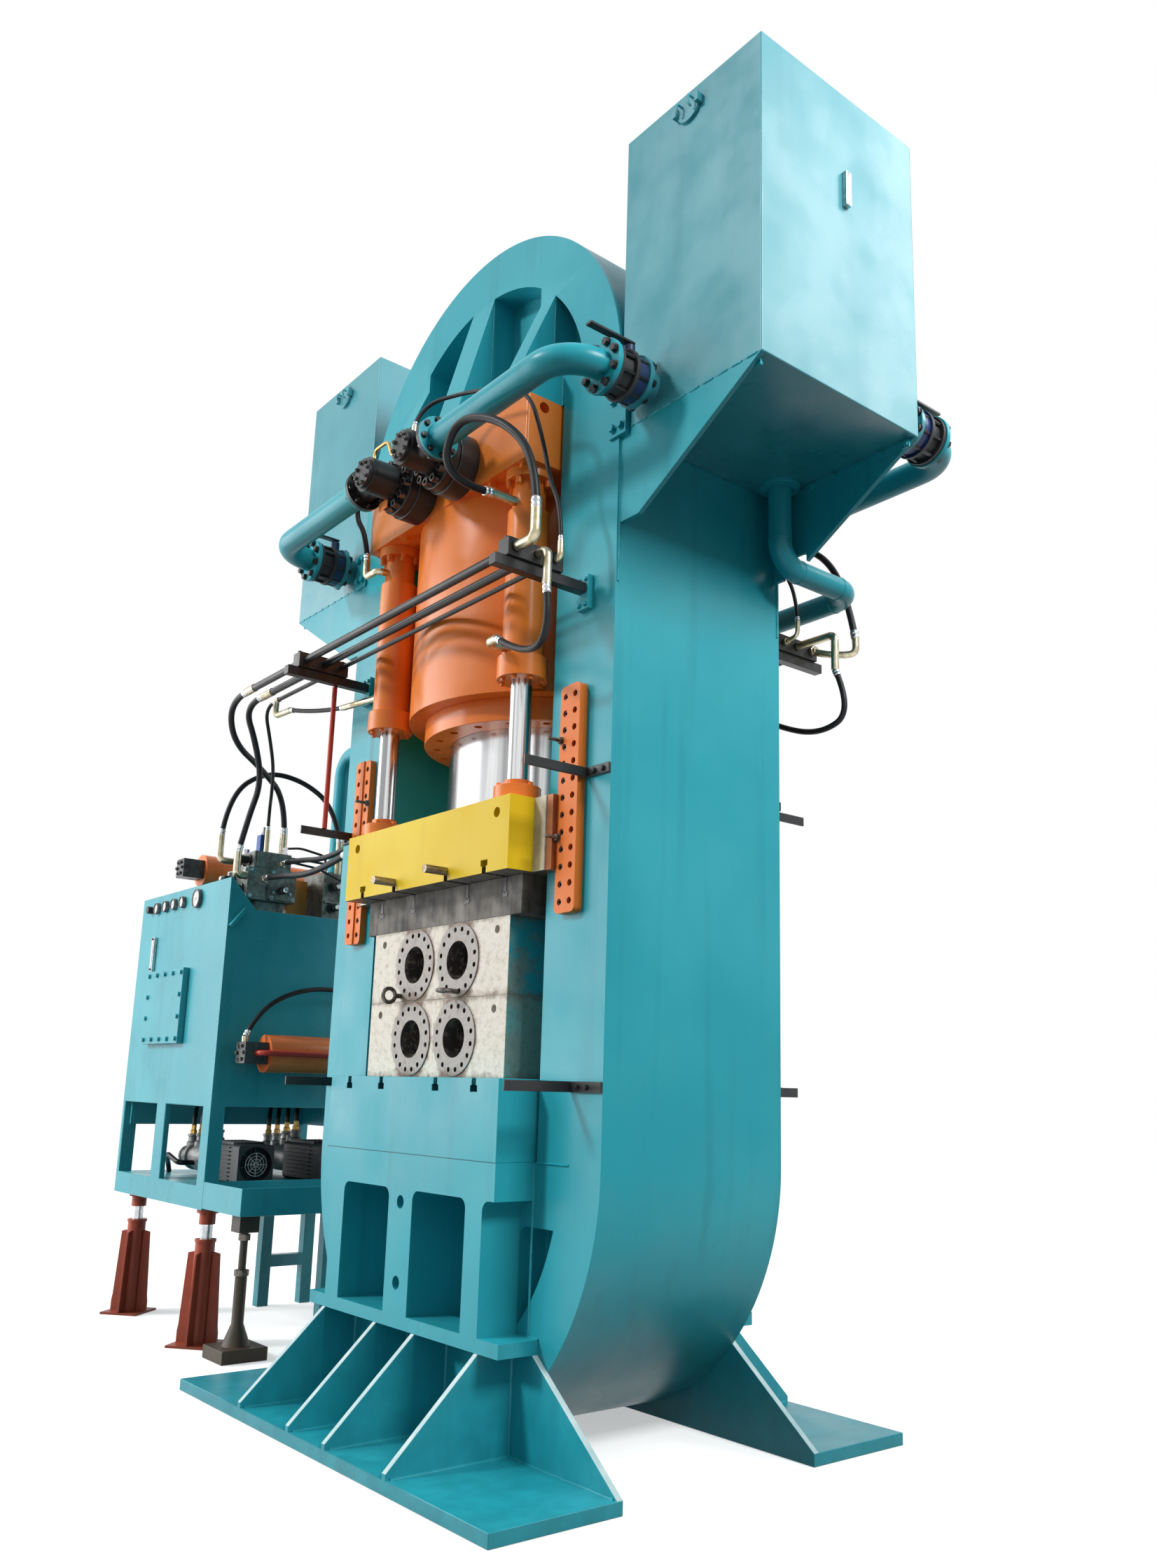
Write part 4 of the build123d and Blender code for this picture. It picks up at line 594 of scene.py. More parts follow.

# Key plate: a dark slotted plate screwed in the upper die's side groove, one on each side.
# It is oiled flat bar with a milled slot.
die_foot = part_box("upper_die")[0].z
key_seat = 0.587
key_thick = 0.018
key_bars = ((-0.074, -0.020, 0.02, 0.34), (0.020, 0.074, 0.02, 0.34), (-0.020, 0.020, 0.02, 0.11),
            (-0.020, 0.020, 0.27, 0.34))
key_plates = bmesh.new()
for side in (-1, 1):
    seat = at(side * key_seat, 0, 0).x
    near, far = sorted((seat, seat + side * key_thick))
    for y0, y1, z0, z1 in key_bars:
        slab(key_plates, (near, y0, die_foot + z0), (far, y1, die_foot + z1))
built("key_plates", key_plates, dark_steel, body="slide", edge=0.001)

# Slide: a planed yellow crosshead with wings at its corners, on a ground spacer plate above the upper die.
# The wings carry bronze liners; round clamping bars stand in keyhole slots in its lower edge.
yellow = painted("yellow_enamel", (0.74, 0.515, 0.014), (0.80, 0.590, 0.028), (0.40, 0.25, 0.02), runs=0.22,
                 gloss=0.42, shine=0.14)
wiped_steel = metal("wiped_steel", (0.62, 0.60, 0.52), (0.33, 0.30, 0.22), stretch=(9.0, 9.0, 2.5), gloss=0.5,
                    metallic=0.25)
slide_side = 0.746
slot_reach = 0.035


def slide_face(face):
    """Underside and keyhole slots are dark oiled steel, the underside partly bare machined face and partly painted
    shade; the wings' running faces wiped steel, the rest painted.
    """
    middle = face.calc_center_median()
    out = abs(middle.x - axis_x)
    # The dark underside is bare machined steel, darkened further as painted shade.
    shaded_underside = face.normal.z < -0.9 and middle.z < slide_low + 0.005
    if not shaded_underside and out > slide_side + 0.012 and abs(face.normal.z) < 0.5:
        return 1
    in_keyhole = middle.z < slide_low + slot_reach and abs(face.normal.y) < 0.3 and out < slide_side - 0.05
    return 2 if shaded_underside or in_keyhole else 0


slide_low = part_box("slide")[0].z
dressed("slide", [yellow, wiped_steel, dark_steel], body="slide", edge=0.004,
        second=slide_face)
streaked_steel = metal("streaked_steel", (0.14, 0.126, 0.105), (0.012, 0.0105, 0.009), stretch=(22.0, 22.0, 1.8),
                       gloss=0.62, metallic=0.12, bump=0.15)
dressed("spacer_plate", streaked_steel, body="slide", edge=0.003)
spacer_low, spacer_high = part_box("spacer_plate")
notches = bmesh.new()
for across in (-0.56, -0.246, 0.246, 0.56):
    for face in (spacer_low.y, spacer_high.y):
        outward = -1 if face < 0 else 1
        near, far = sorted((face - outward * 0.004, face + outward * 0.002))
        for half, base, top in ((0.011, -0.075, -0.002), (0.020, -0.095, -0.070)):
            slab(notches, at(across - half, near, spacer_high.z + base), at(across + half, far, spacer_high.z + top))
black_oxide = metal("black_oxide", (0.040, 0.040, 0.042), (0.014, 0.014, 0.015), gloss=0.36, metallic=0.5)
built("spacer_notches", notches, black_oxide, body="slide", edge=0.0008)
bronze = metal("bronze_liner", (0.34, 0.13, 0.055), (0.20, 0.075, 0.035), stretch=(30.0, 30.0, 3.0), gloss=0.42,
               metallic=0.6)
dressed("guide_liners", bronze, body="slide", edge=0.001)
bar_steel = metal("bar_steel", (0.34, 0.29, 0.22), (0.10, 0.078, 0.055), stretch=(60.0, 6.0, 60.0), gloss=0.38)
dressed("slide_bars", bar_steel, body="slide", edge=0)

# Guide plates: four orange strips screwed to the columns, each with two rows of sunk socket screws.
# Adjusting screws with lock nuts stand out at two heights to set the slide's running clearance.


def lifted(tree, shape, height):
    """Shape moved up its own axis."""
    rise = put(tree, "ShaderNodeCombineXYZ", {2: height})
    return put(tree, "GeometryNodeTransform", {"Geometry": shape, "Translation": rise.outputs[0]}).outputs[0]


def screw_tree():
    """Screw heads on points: prism or cylinder head, optional socket and washer, turned to each point's facing."""
    tree, given = growth_tree("screw_heads", {
        "Sides": "Int", "Head Radius": "Float", "Head Height": "Float", "Socket Depth": "Float", "Has Socket": "Bool",
        "Washer Radius": "Float", "Washer Height": "Float"})
    head = put(tree, "GeometryNodeMeshCylinder", {"Vertices": given["Sides"], "Radius": given["Head Radius"],
                                                  "Depth": given["Head Height"]}).outputs
    rim = put(tree, "GeometryNodeExtrudeMesh", {"Mesh": head["Mesh"], "Selection": head["Top"], "Offset Scale": 0.0,
                                                "Individual": False}).outputs
    drawn_in = put(tree, "GeometryNodeScaleElements", {"Geometry": rim["Mesh"], "Selection": rim["Top"],
                                                       "Scale": 0.56})
    sunk = calc(tree, "MULTIPLY", given["Socket Depth"], -1.0)
    socket = put(tree, "GeometryNodeExtrudeMesh", {"Mesh": drawn_in.outputs[0], "Selection": rim["Top"],
                                                   "Offset Scale": sunk, "Individual": False})
    chosen = put(tree, "GeometryNodeSwitch", {"Switch": given["Has Socket"], "False": head["Mesh"],
                                              "True": socket.outputs["Mesh"]}, input_type="GEOMETRY")
    half_head = calc(tree, "MULTIPLY_ADD", given["Head Height"], 0.5, given["Washer Height"])
    washer = put(tree, "GeometryNodeMeshCylinder", {"Vertices": 20, "Radius": given["Washer Radius"],
                                                    "Depth": given["Washer Height"]})
    half_washer = calc(tree, "MULTIPLY", given["Washer Height"], 0.5)
    screw = put(tree, "GeometryNodeJoinGeometry", {0: lifted(tree, chosen.outputs[0], half_head)})
    tree.links.new(lifted(tree, washer.outputs["Mesh"], half_washer), screw.inputs[0])
    spots = put(tree, "GeometryNodeMeshToPoints", {"Mesh": given["Geometry"]})
    facing = put(tree, "GeometryNodeInputNamedAttribute", {"Name": "facing"}, data_type="FLOAT_VECTOR")
    aimed = put(tree, "FunctionNodeAlignRotationToVector", {"Vector": facing.outputs[0]}, axis="Z")
    chance = put(tree, "FunctionNodeRandomValue", {2: 0.0, 3: 1.0472, "Seed": 7}, data_type="FLOAT")
    turn = put(tree, "FunctionNodeAxisAngleToRotation", {"Axis": (0, 0, 1), "Angle": chance.outputs[1]})
    spun = put(tree, "FunctionNodeRotateRotation", {0: aimed.outputs[0], 1: turn.outputs[0]}, rotation_space="LOCAL")
    set_down = put(tree, "GeometryNodeInstanceOnPoints", {"Points": spots.outputs[0], "Instance": screw.outputs[0],
                                                          "Rotation": spun.outputs[0]})
    return close_tree(tree, set_down.outputs[0], given["Finish"])


screw_heads = screw_tree()


def screws(name, places, finish, radius, height, body="base", sides=6, socket=0.0, washer=(0.0, 0.0)):
    """Screws at (point, facing) places; socket is a round head's socket depth, washer its radius and height."""
    spots = bpy.data.meshes.new(name)
    spots.from_pydata([place for place, facing in places], [], [])
    aim = spots.attributes.new("facing", "FLOAT_VECTOR", "POINT")
    aim.data.foreach_set("vector", [part for place, facing in places for part in facing])
    washer_radius, washer_height = washer if washer[0] else (radius * 0.9, height * 0.2)
    mesh = grown(name, screw_heads, spots, {
        "Sides": sides, "Head Radius": radius, "Head Height": height, "Socket Depth": socket,
        "Has Socket": socket > 0, "Washer Radius": washer_radius, "Washer Height": washer_height, "Finish": finish})
    smooth(mesh, 25)
    return show(name, mesh, [], body)


def circle(centre, facing, radius, count, start=0.0):
    """Places round a bolt circle, each facing along its axis."""
    axis = Vector(facing).normalized()
    first = axis.orthogonal().normalized()
    second = axis.cross(first)
    return [(Vector(centre) + radius * (math.cos(a) * first + math.sin(a) * second), axis)
            for a in (start + 2 * math.pi * i / count for i in range(count))]


FRONT = (0, -1, 0)
BACK = (0, 1, 0)
RIGHT = (1, 0, 0)
LEFT = (-1, 0, 0)
UP = (0, 0, 1)
DOWN = (0, 0, -1)
face_way = {-1: FRONT, 1: BACK}
side_way = {-1: LEFT, 1: RIGHT}
orange = painted("orange_enamel", (0.80, 0.195, 0.022), (0.84, 0.245, 0.040), (0.38, 0.080, 0.012), runs=0.18,
                 gloss=0.26, shine=0.34)
guide_orange = painted("guide_enamel", (0.76, 0.180, 0.026), (0.80, 0.225, 0.042), (0.38, 0.075, 0.014), runs=0.18,
                       gloss=0.42, shine=0.20)
dressed("guide_plates", guide_orange, edge=0.002)
guide_low, guide_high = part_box("guide_plates")
guide_front = guide_high.y
hole_columns = (0.910, 0.989)
hole_rows = 13
hole_margin = 0.050
hole_floor = guide_front - 0.030
hole_first = guide_low.z + hole_margin
hole_pitch = (guide_high.z - guide_low.z - 2 * hole_margin) / (hole_rows - 1)
adjuster_x = 0.886
adjuster_rows = (2.620, 3.065)
adjuster_seat = guide_front - 0.009
sunk_screws = []
adjusters = []
for side in (-1, 1):
    for face in (-1, 1):
        sunk_screws += [(at(side * x, face * hole_floor, hole_first + row * hole_pitch), face_way[face])
                        for x in hole_columns for row in range(hole_rows)]
        adjusters += [(at(side * adjuster_x, face * adjuster_seat, z), face_way[face]) for z in adjuster_rows]
screws("guide_screws", sunk_screws, black_oxide, radius=0.0135, height=0.014, sides=14, socket=0.008)
screws("adjuster_nuts", adjusters, dark_steel, radius=0.016, height=0.014, washer=(0.020, 0.003))
screws("adjuster_screws", adjusters, dark_steel, radius=0.008, height=0.062, sides=14)

# Main cylinder: a forged barrel and square head bolted under the upper beam, with a bolted gland below.
# Barrel, head and gland are orange enamel; the ram is ground hard chrome.
dressed("main_cylinder", orange, edge=0.005)
dressed("ram_gland", orange, edge=0.003)
dressed("ram_bush", bronze, edge=0)


def chrome_finish(name, centre_x, centre_y):
    """Ground chrome: painted reflection bands and fine lines run along the rod, set out by angle round the folded rod
    centres.
    """
    made, tree = blank_finish(name)
    place = put(tree, "ShaderNodeSeparateXYZ", {0: put(tree, "ShaderNodeTexCoord").outputs["Object"]}).outputs
    across = calc(tree, "SUBTRACT", place["X"], axis_x)
    deep = place["Y"]
    if centre_x:
        across = calc(tree, "SUBTRACT", calc(tree, "ABSOLUTE", across), centre_x)
        deep = calc(tree, "SUBTRACT", calc(tree, "ABSOLUTE", deep), centre_y)
    unrolled = put(tree, "ShaderNodeCombineXYZ", {0: calc(tree, "ARCTAN2", deep, across),
                                                  2: calc(tree, "MULTIPLY", place["Z"], 0.05)}).outputs[0]
    # Dark and bright bands round the rod are painted reflections of the surroundings.
    reflection_bands = ramp(tree, noise(tree, unrolled, 3.2, 3.0), 0.40, 0.62, ease="SMOOTHSTEP")
    lines = ramp(tree, noise(tree, unrolled, 42.0, 4.0), 0.35, 0.75, 0.0, 0.5)
    tone = mixed(tree, reflection_bands, (0.30, 0.31, 0.32, 1), (0.80, 0.81, 0.82, 1))
    lined = mixed(tree, lines, tone, (0.45, 0.44, 0.42, 1))
    return shaded(made, {"Base Color": lined, "Roughness": 0.20, "Metallic": 1.0})


dressed("main_ram", chrome_finish("ram_chrome", 0, 0), body="slide", edge=0)
head_low = 4.458
head_edge = 0.69
head_inner = 0.42
head_screws = [(at(x, y, head_low), DOWN) for y in (-head_edge, head_edge)
               for x in (-head_edge, -head_inner, head_inner, head_edge)]
screws("head_screws", head_screws, orange, radius=0.026, height=0.020, washer=(0.034, 0.004))

# Return cylinders: four small lift cylinders on flanges under the head, rods footed on the slide by split flanges.
# Tubes and flanges are orange enamel with painted hexagon screws; the rods are hard chrome.
return_x = 0.613
return_y = 0.603
dressed("return_cylinders", orange, edge=0.003)
dressed("return_glands", orange, edge=0.003)
dressed("return_rods", chrome_finish("rod_chrome", return_x, return_y), body="slide", edge=0)
dressed("rod_flanges", orange, body="slide", edge=0.003)
dressed("flange_bolts", orange, edge=0.002)
gland_low = 3.402
gland_circle = 0.096
rod_flange_top = 2.885
rod_flange_circle = 0.087
gland_screws = []
foot_screws = []
for x in (-return_x, return_x):
    for y in (-return_y, return_y):
        gland_screws += circle(at(x, y, gland_low), DOWN, gland_circle, 8, 0.2)
        foot_screws += circle(at(x, y, rod_flange_top), UP, rod_flange_circle, 6, 0.4)
screws("return_gland_screws", gland_screws, orange, radius=0.012, height=0.012, sides=14,
       socket=0.007)
screws("rod_flange_screws", foot_screws, orange, radius=0.013, height=0.013, body="slide", sides=14,
       socket=0.008)

# Prefill valves: two cast valves on each face of the head that let the tanks fill the cylinder fast.
# Each is turned steel under satin black paint, with rings of large socket screws and a bolted cap.
black = painted("black_enamel", (0.013, 0.0135, 0.0145), (0.024, 0.025, 0.027), (0.045, 0.042, 0.038), runs=0.35,
                gloss=0.34, cloud=4.0)
rubbed_black = metal("rubbed_black", (0.20, 0.195, 0.19), (0.040, 0.039, 0.038), gloss=0.26, metallic=0.8)
dressed("prefill_valves", black, edge=0.004)
valve_x = 0.190
valve_z = 4.610
valve_ring_y, valve_ring_circle = 0.890, 0.127
cap_y, cap_circle = 1.096, 0.058
port_x, port_y, port_circle = 0.346, 0.990, 0.090
ring_screws = []
cap_screws = []
port_screws = []
for side in (-1, 1):
    for face in (-1, 1):
        ring_screws += circle(at(side * valve_x, face * valve_ring_y, valve_z), face_way[face], valve_ring_circle, 12)
        cap_screws += circle(at(side * valve_x, face * cap_y, valve_z), face_way[face], cap_circle, 8, 0.2)
        port_screws += circle(at(side * port_x, face * port_y, valve_z), side_way[-side], port_circle, 8, 0.2)
screws("valve_ring_screws", ring_screws, rubbed_black, radius=0.0215, height=0.030, sides=20,
       socket=0.016)
screws("valve_cap_screws", cap_screws, rubbed_black, radius=0.011, height=0.011, sides=16,
       socket=0.007)
screws("valve_port_screws", port_screws, rubbed_black, radius=0.012, height=0.012, sides=16,
       socket=0.007)


def tube(name, runs, radius, finish, body="base", sides=14, bend=0.03):
    """Bent tubes of one radius through runs of points, with rounded corners."""
    curve = bpy.data.curves.new(name, "CURVE")
    curve.dimensions = "3D"
    curve.bevel_depth = radius
    curve.bevel_resolution = max(1, sides // 4 - 1)
    curve.use_fill_caps = True
    for run in runs:
        path = [run[0]]
        for before, corner, after in zip(run, run[1:], run[2:]):
            start = corner + (before - corner).normalized() * bend
            end = corner + (after - corner).normalized() * bend
            path += [start.lerp(corner, t).lerp(corner.lerp(end, t), t) for t in (0, 0.2, 0.4, 0.6, 0.8, 1.0)]
        path.append(run[-1])
        line = curve.splines.new("POLY")
        line.points.add(len(path) - 1)
        for point, place in zip(line.points, path):
            point.co = (*place, 1)
    wire = placed(name, curve)
    mesh = bpy.data.meshes.new_from_object(wire.evaluated_get(bpy.context.evaluated_depsgraph_get()))
    bpy.data.objects.remove(wire)
    mesh.materials.clear()
    smooth(mesh, 50)
    return show(name, mesh, finish, body)


brass = metal("brass", (0.66, 0.42, 0.13), (0.42, 0.25, 0.075), gloss=0.28)
pilot_tubes = []
for face in (-1, 1):
    pilot_tubes.append([at(-valve_x, face * 1.030, valve_z + 0.085), at(-valve_x, face * 1.030, valve_z + 0.150),
                        at(-0.02, face * 1.050, valve_z + 0.125), at(0.03, face * 1.050, valve_z + 0.02),
                        at(valve_x - 0.085, face * 1.040, valve_z + 0.02)])
tube("pilot_tubes", pilot_tubes, 0.009, brass, bend=0.035)
tag_orange = painted("tag_orange", (0.80, 0.22, 0.03), (0.85, 0.27, 0.05), (0.4, 0.1, 0.02), gloss=0.5)
valve_tag = bmesh.new()
slab(valve_tag, at(-0.29, -0.935, 4.478), at(-0.20, -0.931, 4.528))
built("valve_tag", valve_tag, tag_orange, edge=0.001)

# Suction lines: teal pipes from the valves round to the tanks, each with a rubber joint and a butterfly shut-off.
# Pipes are welded and painted; the shut-offs are dark blue castings between flanges, with black tie bolts.
dressed("suction_pipes", teal, edge=0.003)
dark_blue = painted("dark_blue_enamel", (0.012, 0.030, 0.105), (0.020, 0.045, 0.14), (0.02, 0.022, 0.03), runs=0.4,
                    gloss=0.38, cloud=6.0)
rubber = painted("joint_rubber", (0.016, 0.017, 0.019), (0.030, 0.031, 0.033), (0.06, 0.058, 0.052), runs=0.3,
                 gloss=0.55, cloud=9.0)
body_front = 0.664
dressed("butterfly_valves", [dark_blue, rubber], edge=0.003,
        second=lambda face: abs(face.calc_center_median().y) > body_front + 0.006)
shutoff_x = {-1: 1.385, 1: 1.935}
line_z = 4.610
tie_inner = 0.588
tie_outer = 0.794
tie_circle = 0.103
flange_x, flange_circle = 0.386, 0.089
tie_bolts = []
tie_rods = []
flange_screws = []
for side in (-1, 1):
    for face in (-1, 1):
        near, far = (at(side * shutoff_x[face], face * y, line_z) for y in (tie_inner, tie_outer))
        tie_bolts += circle(far, face_way[face], tie_circle, 8, 0.39)
        tie_bolts += circle(near, face_way[-face], tie_circle, 8, 0.39)
        tie_rods += [[place, place + Vector(facing) * (tie_outer - tie_inner)]
                     for place, facing in circle(near, face_way[face], tie_circle, 8, 0.39)]
        flange_screws += circle(at(side * flange_x, face * port_y, line_z), side_way[side], flange_circle, 8, 0.2)
screws("tie_bolt_nuts", tie_bolts, black_oxide, radius=0.018, height=0.016, washer=(0.021, 0.004))
tube("tie_rods", tie_rods, 0.009, black_oxide, sides=10)
screws("port_flange_nuts", flange_screws, black_oxide, radius=0.013, height=0.013,
       washer=(0.016, 0.003))
for lever in ("right_front", "left_front", "right_rear", "left_rear"):
    dressed("valve_lever_" + lever, black, body="lever_" + lever, edge=0.002)

# Oil tanks: two tall welded boxes hung on gusset brackets from the ring, with lug plates bolted to its face.
# Teal enamel over plate; round covers with hook handles, glass level gauges and stitch welds under the floor edge.
# The tank enamel is a darker copy of the frame's teal: painted shade that holds back the strong side light on the
# tanks.
shaded_tank_teal = painted("shaded_tank_enamel", (0.036, 0.285, 0.345), (0.075, 0.350, 0.405), (0.018, 0.18, 0.225), runs=0.26,
                    gloss=0.30, spread=0.24, cloud=0.8, bump=0.035, shine=0.5)
dressed("oil_tanks", shaded_tank_teal, edge=0.006)
dressed("tank_brackets", teal, edge=0.003)
tank_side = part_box("oil_tanks")[1].x - axis_x
tank_floor = 4.476
tank_front = 0.517
stitch_length = 0.055
stitch_pitch = 0.085
stitch_y = tank_front - 0.001
stitch_start = 1.23
bracket_low = 3.75
bracket_inner = 1.2
stitches = []
bracket_seams = []
for side in (-1, 1):
    for face in (-1, 1):
        spot = stitch_start
        while spot < tank_side - 0.03:
            stitches.append([at(side * x, face * stitch_y, tank_floor) for x in (spot, spot + stitch_length)])
            spot += stitch_pitch
        bracket_seams.append([at(side * bracket_inner, face * tank_front, z) for z in (bracket_low, tank_floor)])
welds("tank_stitch_welds", stitches, teal, radius=0.006)
welds("bracket_seams", bracket_seams, teal, radius=0.007)
lug_front = -0.544
lug_columns = (1.172, 1.228)
lug_rows = (4.492, 4.628)
lug_bolts = [(at(side * x, lug_front, z), FRONT) for side in (-1, 1) for x in lug_columns for z in lug_rows]
screws("lug_bolts", lug_bolts, teal, radius=0.018, height=0.015, washer=(0.023, 0.004))
strips = bmesh.new()
strip_bolts = []
inner_face = tank_front - 0.024
strip_face = inner_face - 0.008
strip_inner = 1.42
bolt_first, bolt_pitch = 1.47, 0.14
for side in (-1, 1):
    for face in (-1, 1):
        near, far = sorted((face * inner_face, face * strip_face))
        left, right = sorted((side * strip_inner, side * (tank_side - 0.03)))
        slab(strips, at(left, near, tank_floor - 0.040), at(right, far, tank_floor - 0.001))
        strip_bolts += [(at(side * (bolt_first + bolt_pitch * i), face * strip_face, tank_floor - 0.024),
                         face_way[-face])
                        for i in range(5)]
built("bracket_strips", strips, teal, edge=0.001)
screws("bracket_bolts", strip_bolts, teal, radius=0.014, height=0.011, washer=(0.017, 0.002))
zinc = metal("zinc_plate", (0.62, 0.63, 0.64), (0.34, 0.35, 0.36), gloss=0.26)
unit_front = -0.720
cover_foot = 5.7
dressed("tank_covers", shaded_tank_teal, node="tank_fittings", edge=0.002,
        keep=lambda centre, size: centre.z > cover_foot)
dressed("gauge_frames", zinc, node="tank_fittings", edge=0.002,
        keep=lambda centre, size: centre.z <= cover_foot)
cover_x = 1.632
cover_z = 5.916
hook_bends = ((0, 0, 0), (0, -0.034, 0.004), (0, -0.036, -0.042), (0, -0.018, -0.050))
hooks = []
for side in (-1, 1):
    for across in (-0.038, 0.038):
        spot = at(side * cover_x + across, -tank_front - 0.012, cover_z + 0.02)
        hooks.append([spot + Vector(step) for step in hook_bends])
tube("cover_hooks", hooks, 0.006, shaded_tank_teal, sides=10, bend=0.012)
gauge_white = painted("gauge_glass", (0.80, 0.83, 0.83), (0.72, 0.77, 0.78), (0.42, 0.47, 0.48), gloss=0.12,
                      spread=0.04, cloud=9.0, bump=0.0)
tank_glass = bmesh.new()
gauge_side = tank_side + 0.024
gauge_y = 0.024
glass_half = 0.010
glass_low, glass_high = 5.437, 5.569
for side in (-1, 1):
    left, right = sorted((side * (gauge_side - 0.002), side * (gauge_side + 0.0005)))
    slab(tank_glass, at(left, gauge_y - glass_half, glass_low), at(right, gauge_y + glass_half, glass_high))
slab(tank_glass, at(-3.543, unit_front - 0.024, 2.290), at(-3.519, unit_front - 0.022, 2.476))
built("level_glasses", tank_glass, gauge_white, edge=0.001)
gauge_screws = [(at(side * (gauge_side - 0.0065), gauge_y, z), side_way[side])
                for side in (-1, 1) for z in (glass_low - 0.010, glass_high + 0.010)]
gauge_screws += [(at(-3.531, unit_front - 0.022, z), FRONT) for z in (2.278, 2.488)]
screws("gauge_screws", gauge_screws, black_oxide, radius=0.007, height=0.006, sides=14, socket=0.003)

# Oil lines between tanks, cylinder and unit: welded teal pipe with flanges.
# The balance pipe joins the two tanks behind the ring; the feed pipe drops to the power unit.
dressed("balance_pipe", teal, edge=0.002)
dressed("feed_pipe", teal, edge=0.002)


def ring_run(centre, facing, radius, count=28):
    """Closed run of points round a pipe."""
    spots = [spot[0] for spot in circle(centre, facing, radius, count)]
    return spots + spots[:1]


balance_radius = 0.057
balance_x, balance_z = 1.340, 4.053
drop_y, cross_y = 0.390, 0.945
elbow = 0.130
pipe_rings = []
for side in (-1, 1):
    pipe_rings += [ring_run(at(side * balance_x, drop_y, balance_z + elbow), UP, balance_radius),
                   ring_run(at(side * balance_x, drop_y + elbow, balance_z), BACK, balance_radius),
                   ring_run(at(side * balance_x, cross_y - elbow, balance_z), BACK, balance_radius),
                   ring_run(at(side * (balance_x - elbow), cross_y, balance_z), RIGHT, balance_radius)]
welds("pipe_ring_welds", pipe_rings, teal, radius=0.0035)
floor_bolts = []
for side in (-1, 1):
    floor_bolts += circle(at(side * balance_x, drop_y, tank_floor - 0.024), DOWN, 0.080, 6, 0.3)
screws("tank_floor_bolts", floor_bolts, teal, radius=0.010, height=0.010, washer=(0.013, 0.002))

# Pressure lines: black steel tubes held by split clamps on arms off the columns, with bumper guards beside the slide.
# Arms, clamps and guards are black enamel with black screws; one red rod hangs from the left arm.
signal_red = painted("signal_red", (0.50, 0.035, 0.020), (0.56, 0.055, 0.030), (0.2, 0.02, 0.012), gloss=0.4)
pipe_black = painted("pipe_black", (0.010, 0.0105, 0.012), (0.019, 0.020, 0.022), (0.035, 0.034, 0.032), runs=0.2,
                     gloss=0.28, cloud=5.0, shine=0.24)
dressed("pressure_pipes", pipe_black, edge=0)
red_rod_x = -1.034


def is_red_rod(centre, size):
    """The red rod is the one slim solid that stands under the left front arm."""
    return abs(centre.x - axis_x - red_rod_x) < 0.004 and 3.0 < centre.z < 3.6


def is_arm_foot(face):
    """Foot plates of the pipe arms are painted with the column."""
    middle = face.calc_center_median()
    return middle.z > 3.6 and abs(middle.y) < 0.562


dressed("column_brackets", [black, teal], edge=0.003, second=is_arm_foot,
        keep=lambda centre, size: not is_red_rod(centre, size))
dressed("red_rod", signal_red, node="column_brackets", edge=0, keep=is_red_rod)
arm_x = 1.0
arm_foot_y = 0.560
clamp_top = 3.870
clamp_rows = (0.722, 0.797, 0.900, 0.985)
guard_y = 0.542
guard_feet = ((1.044, 2.893), (0.991, 1.545))
clamp_screws = []
guard_screws = []
arm_screws = []
for side in (-1, 1):
    for face in (-1, 1):
        clamp_screws += [(at(side * arm_x, face * y, clamp_top), UP) for y in clamp_rows]
        guard_screws += [(at(side * (x + step), face * guard_y, z), face_way[face])
                         for x, z in guard_feet for step in (0.055, 0.115)]
        arm_screws += [(at(side * arm_x + step, face * arm_foot_y, z), face_way[face])
                       for step in (-0.022, 0.022) for z in (3.682, 3.803)]
screws("arm_foot_screws", arm_screws, teal, radius=0.011, height=0.010, washer=(0.014, 0.002))
screws("clamp_screws", clamp_screws, black_oxide, radius=0.010, height=0.011, sides=14, socket=0.006)
screws("guard_screws", guard_screws, black_oxide, radius=0.012, height=0.010, washer=(0.015, 0.002))

# Power unit: a folded-plate oil cabinet on legs with a sloped console, a bay with two motor pumps and a drip tray.
# Cabinet and tray are teal enamel; the bolted access cover, gauges and knob are on its front.
unit_teal = painted("unit_enamel", (0.030, 0.335, 0.400), (0.055, 0.385, 0.450), (0.016, 0.18, 0.225), runs=0.34,
                    gloss=0.32, spread=0.2, cloud=1.6, bump=0.06)
dressed("unit_cabinet", unit_teal, edge=0.005)
dressed("access_cover", unit_teal, edge=0.003)
dressed("drip_tray", unit_teal, edge=0.003)
dressed("trestle", unit_teal, edge=0.003)
unit_right = -2.310
ear = bmesh.new()
ear_ends = (at(unit_right, -0.708, 2.482), at(unit_right, -0.621, 2.600))
ear_reach = Vector((0.048, 0, 0))
along = (ear_ends[1] - ear_ends[0]).normalized()
across = Vector((0, -along.z, along.y)) * 0.010
loop = [ear_ends[0] - across, ear_ends[1] - across, ear_ends[1] + across, ear_ends[0] + across]
inner = [ear.verts.new(p) for p in loop]
outer = [ear.verts.new(p + ear_reach) for p in loop]
ear.faces.new(inner[::-1])
ear.faces.new(outer)
for i in range(4):
    ear.faces.new((inner[i - 1], inner[i], outer[i], outer[i - 1]))
bmesh.ops.recalc_face_normals(ear, faces=ear.faces)
built("cabinet_ear", ear, unit_teal, edge=0.001)
rails = bmesh.new()
slab(rails, at(-3.810, -0.680, 1.225), at(-3.780, 0.640, 1.380))
slab(rails, at(-3.780, 0.612, 1.225), at(-2.352, 0.642, 1.380))
slab(rails, at(-3.100, 0.600, 0.905), at(-3.030, 0.640, 1.380))
built("bay_rails", rails, unit_teal, edge=0.002)
cover_low, cover_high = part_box("access_cover")
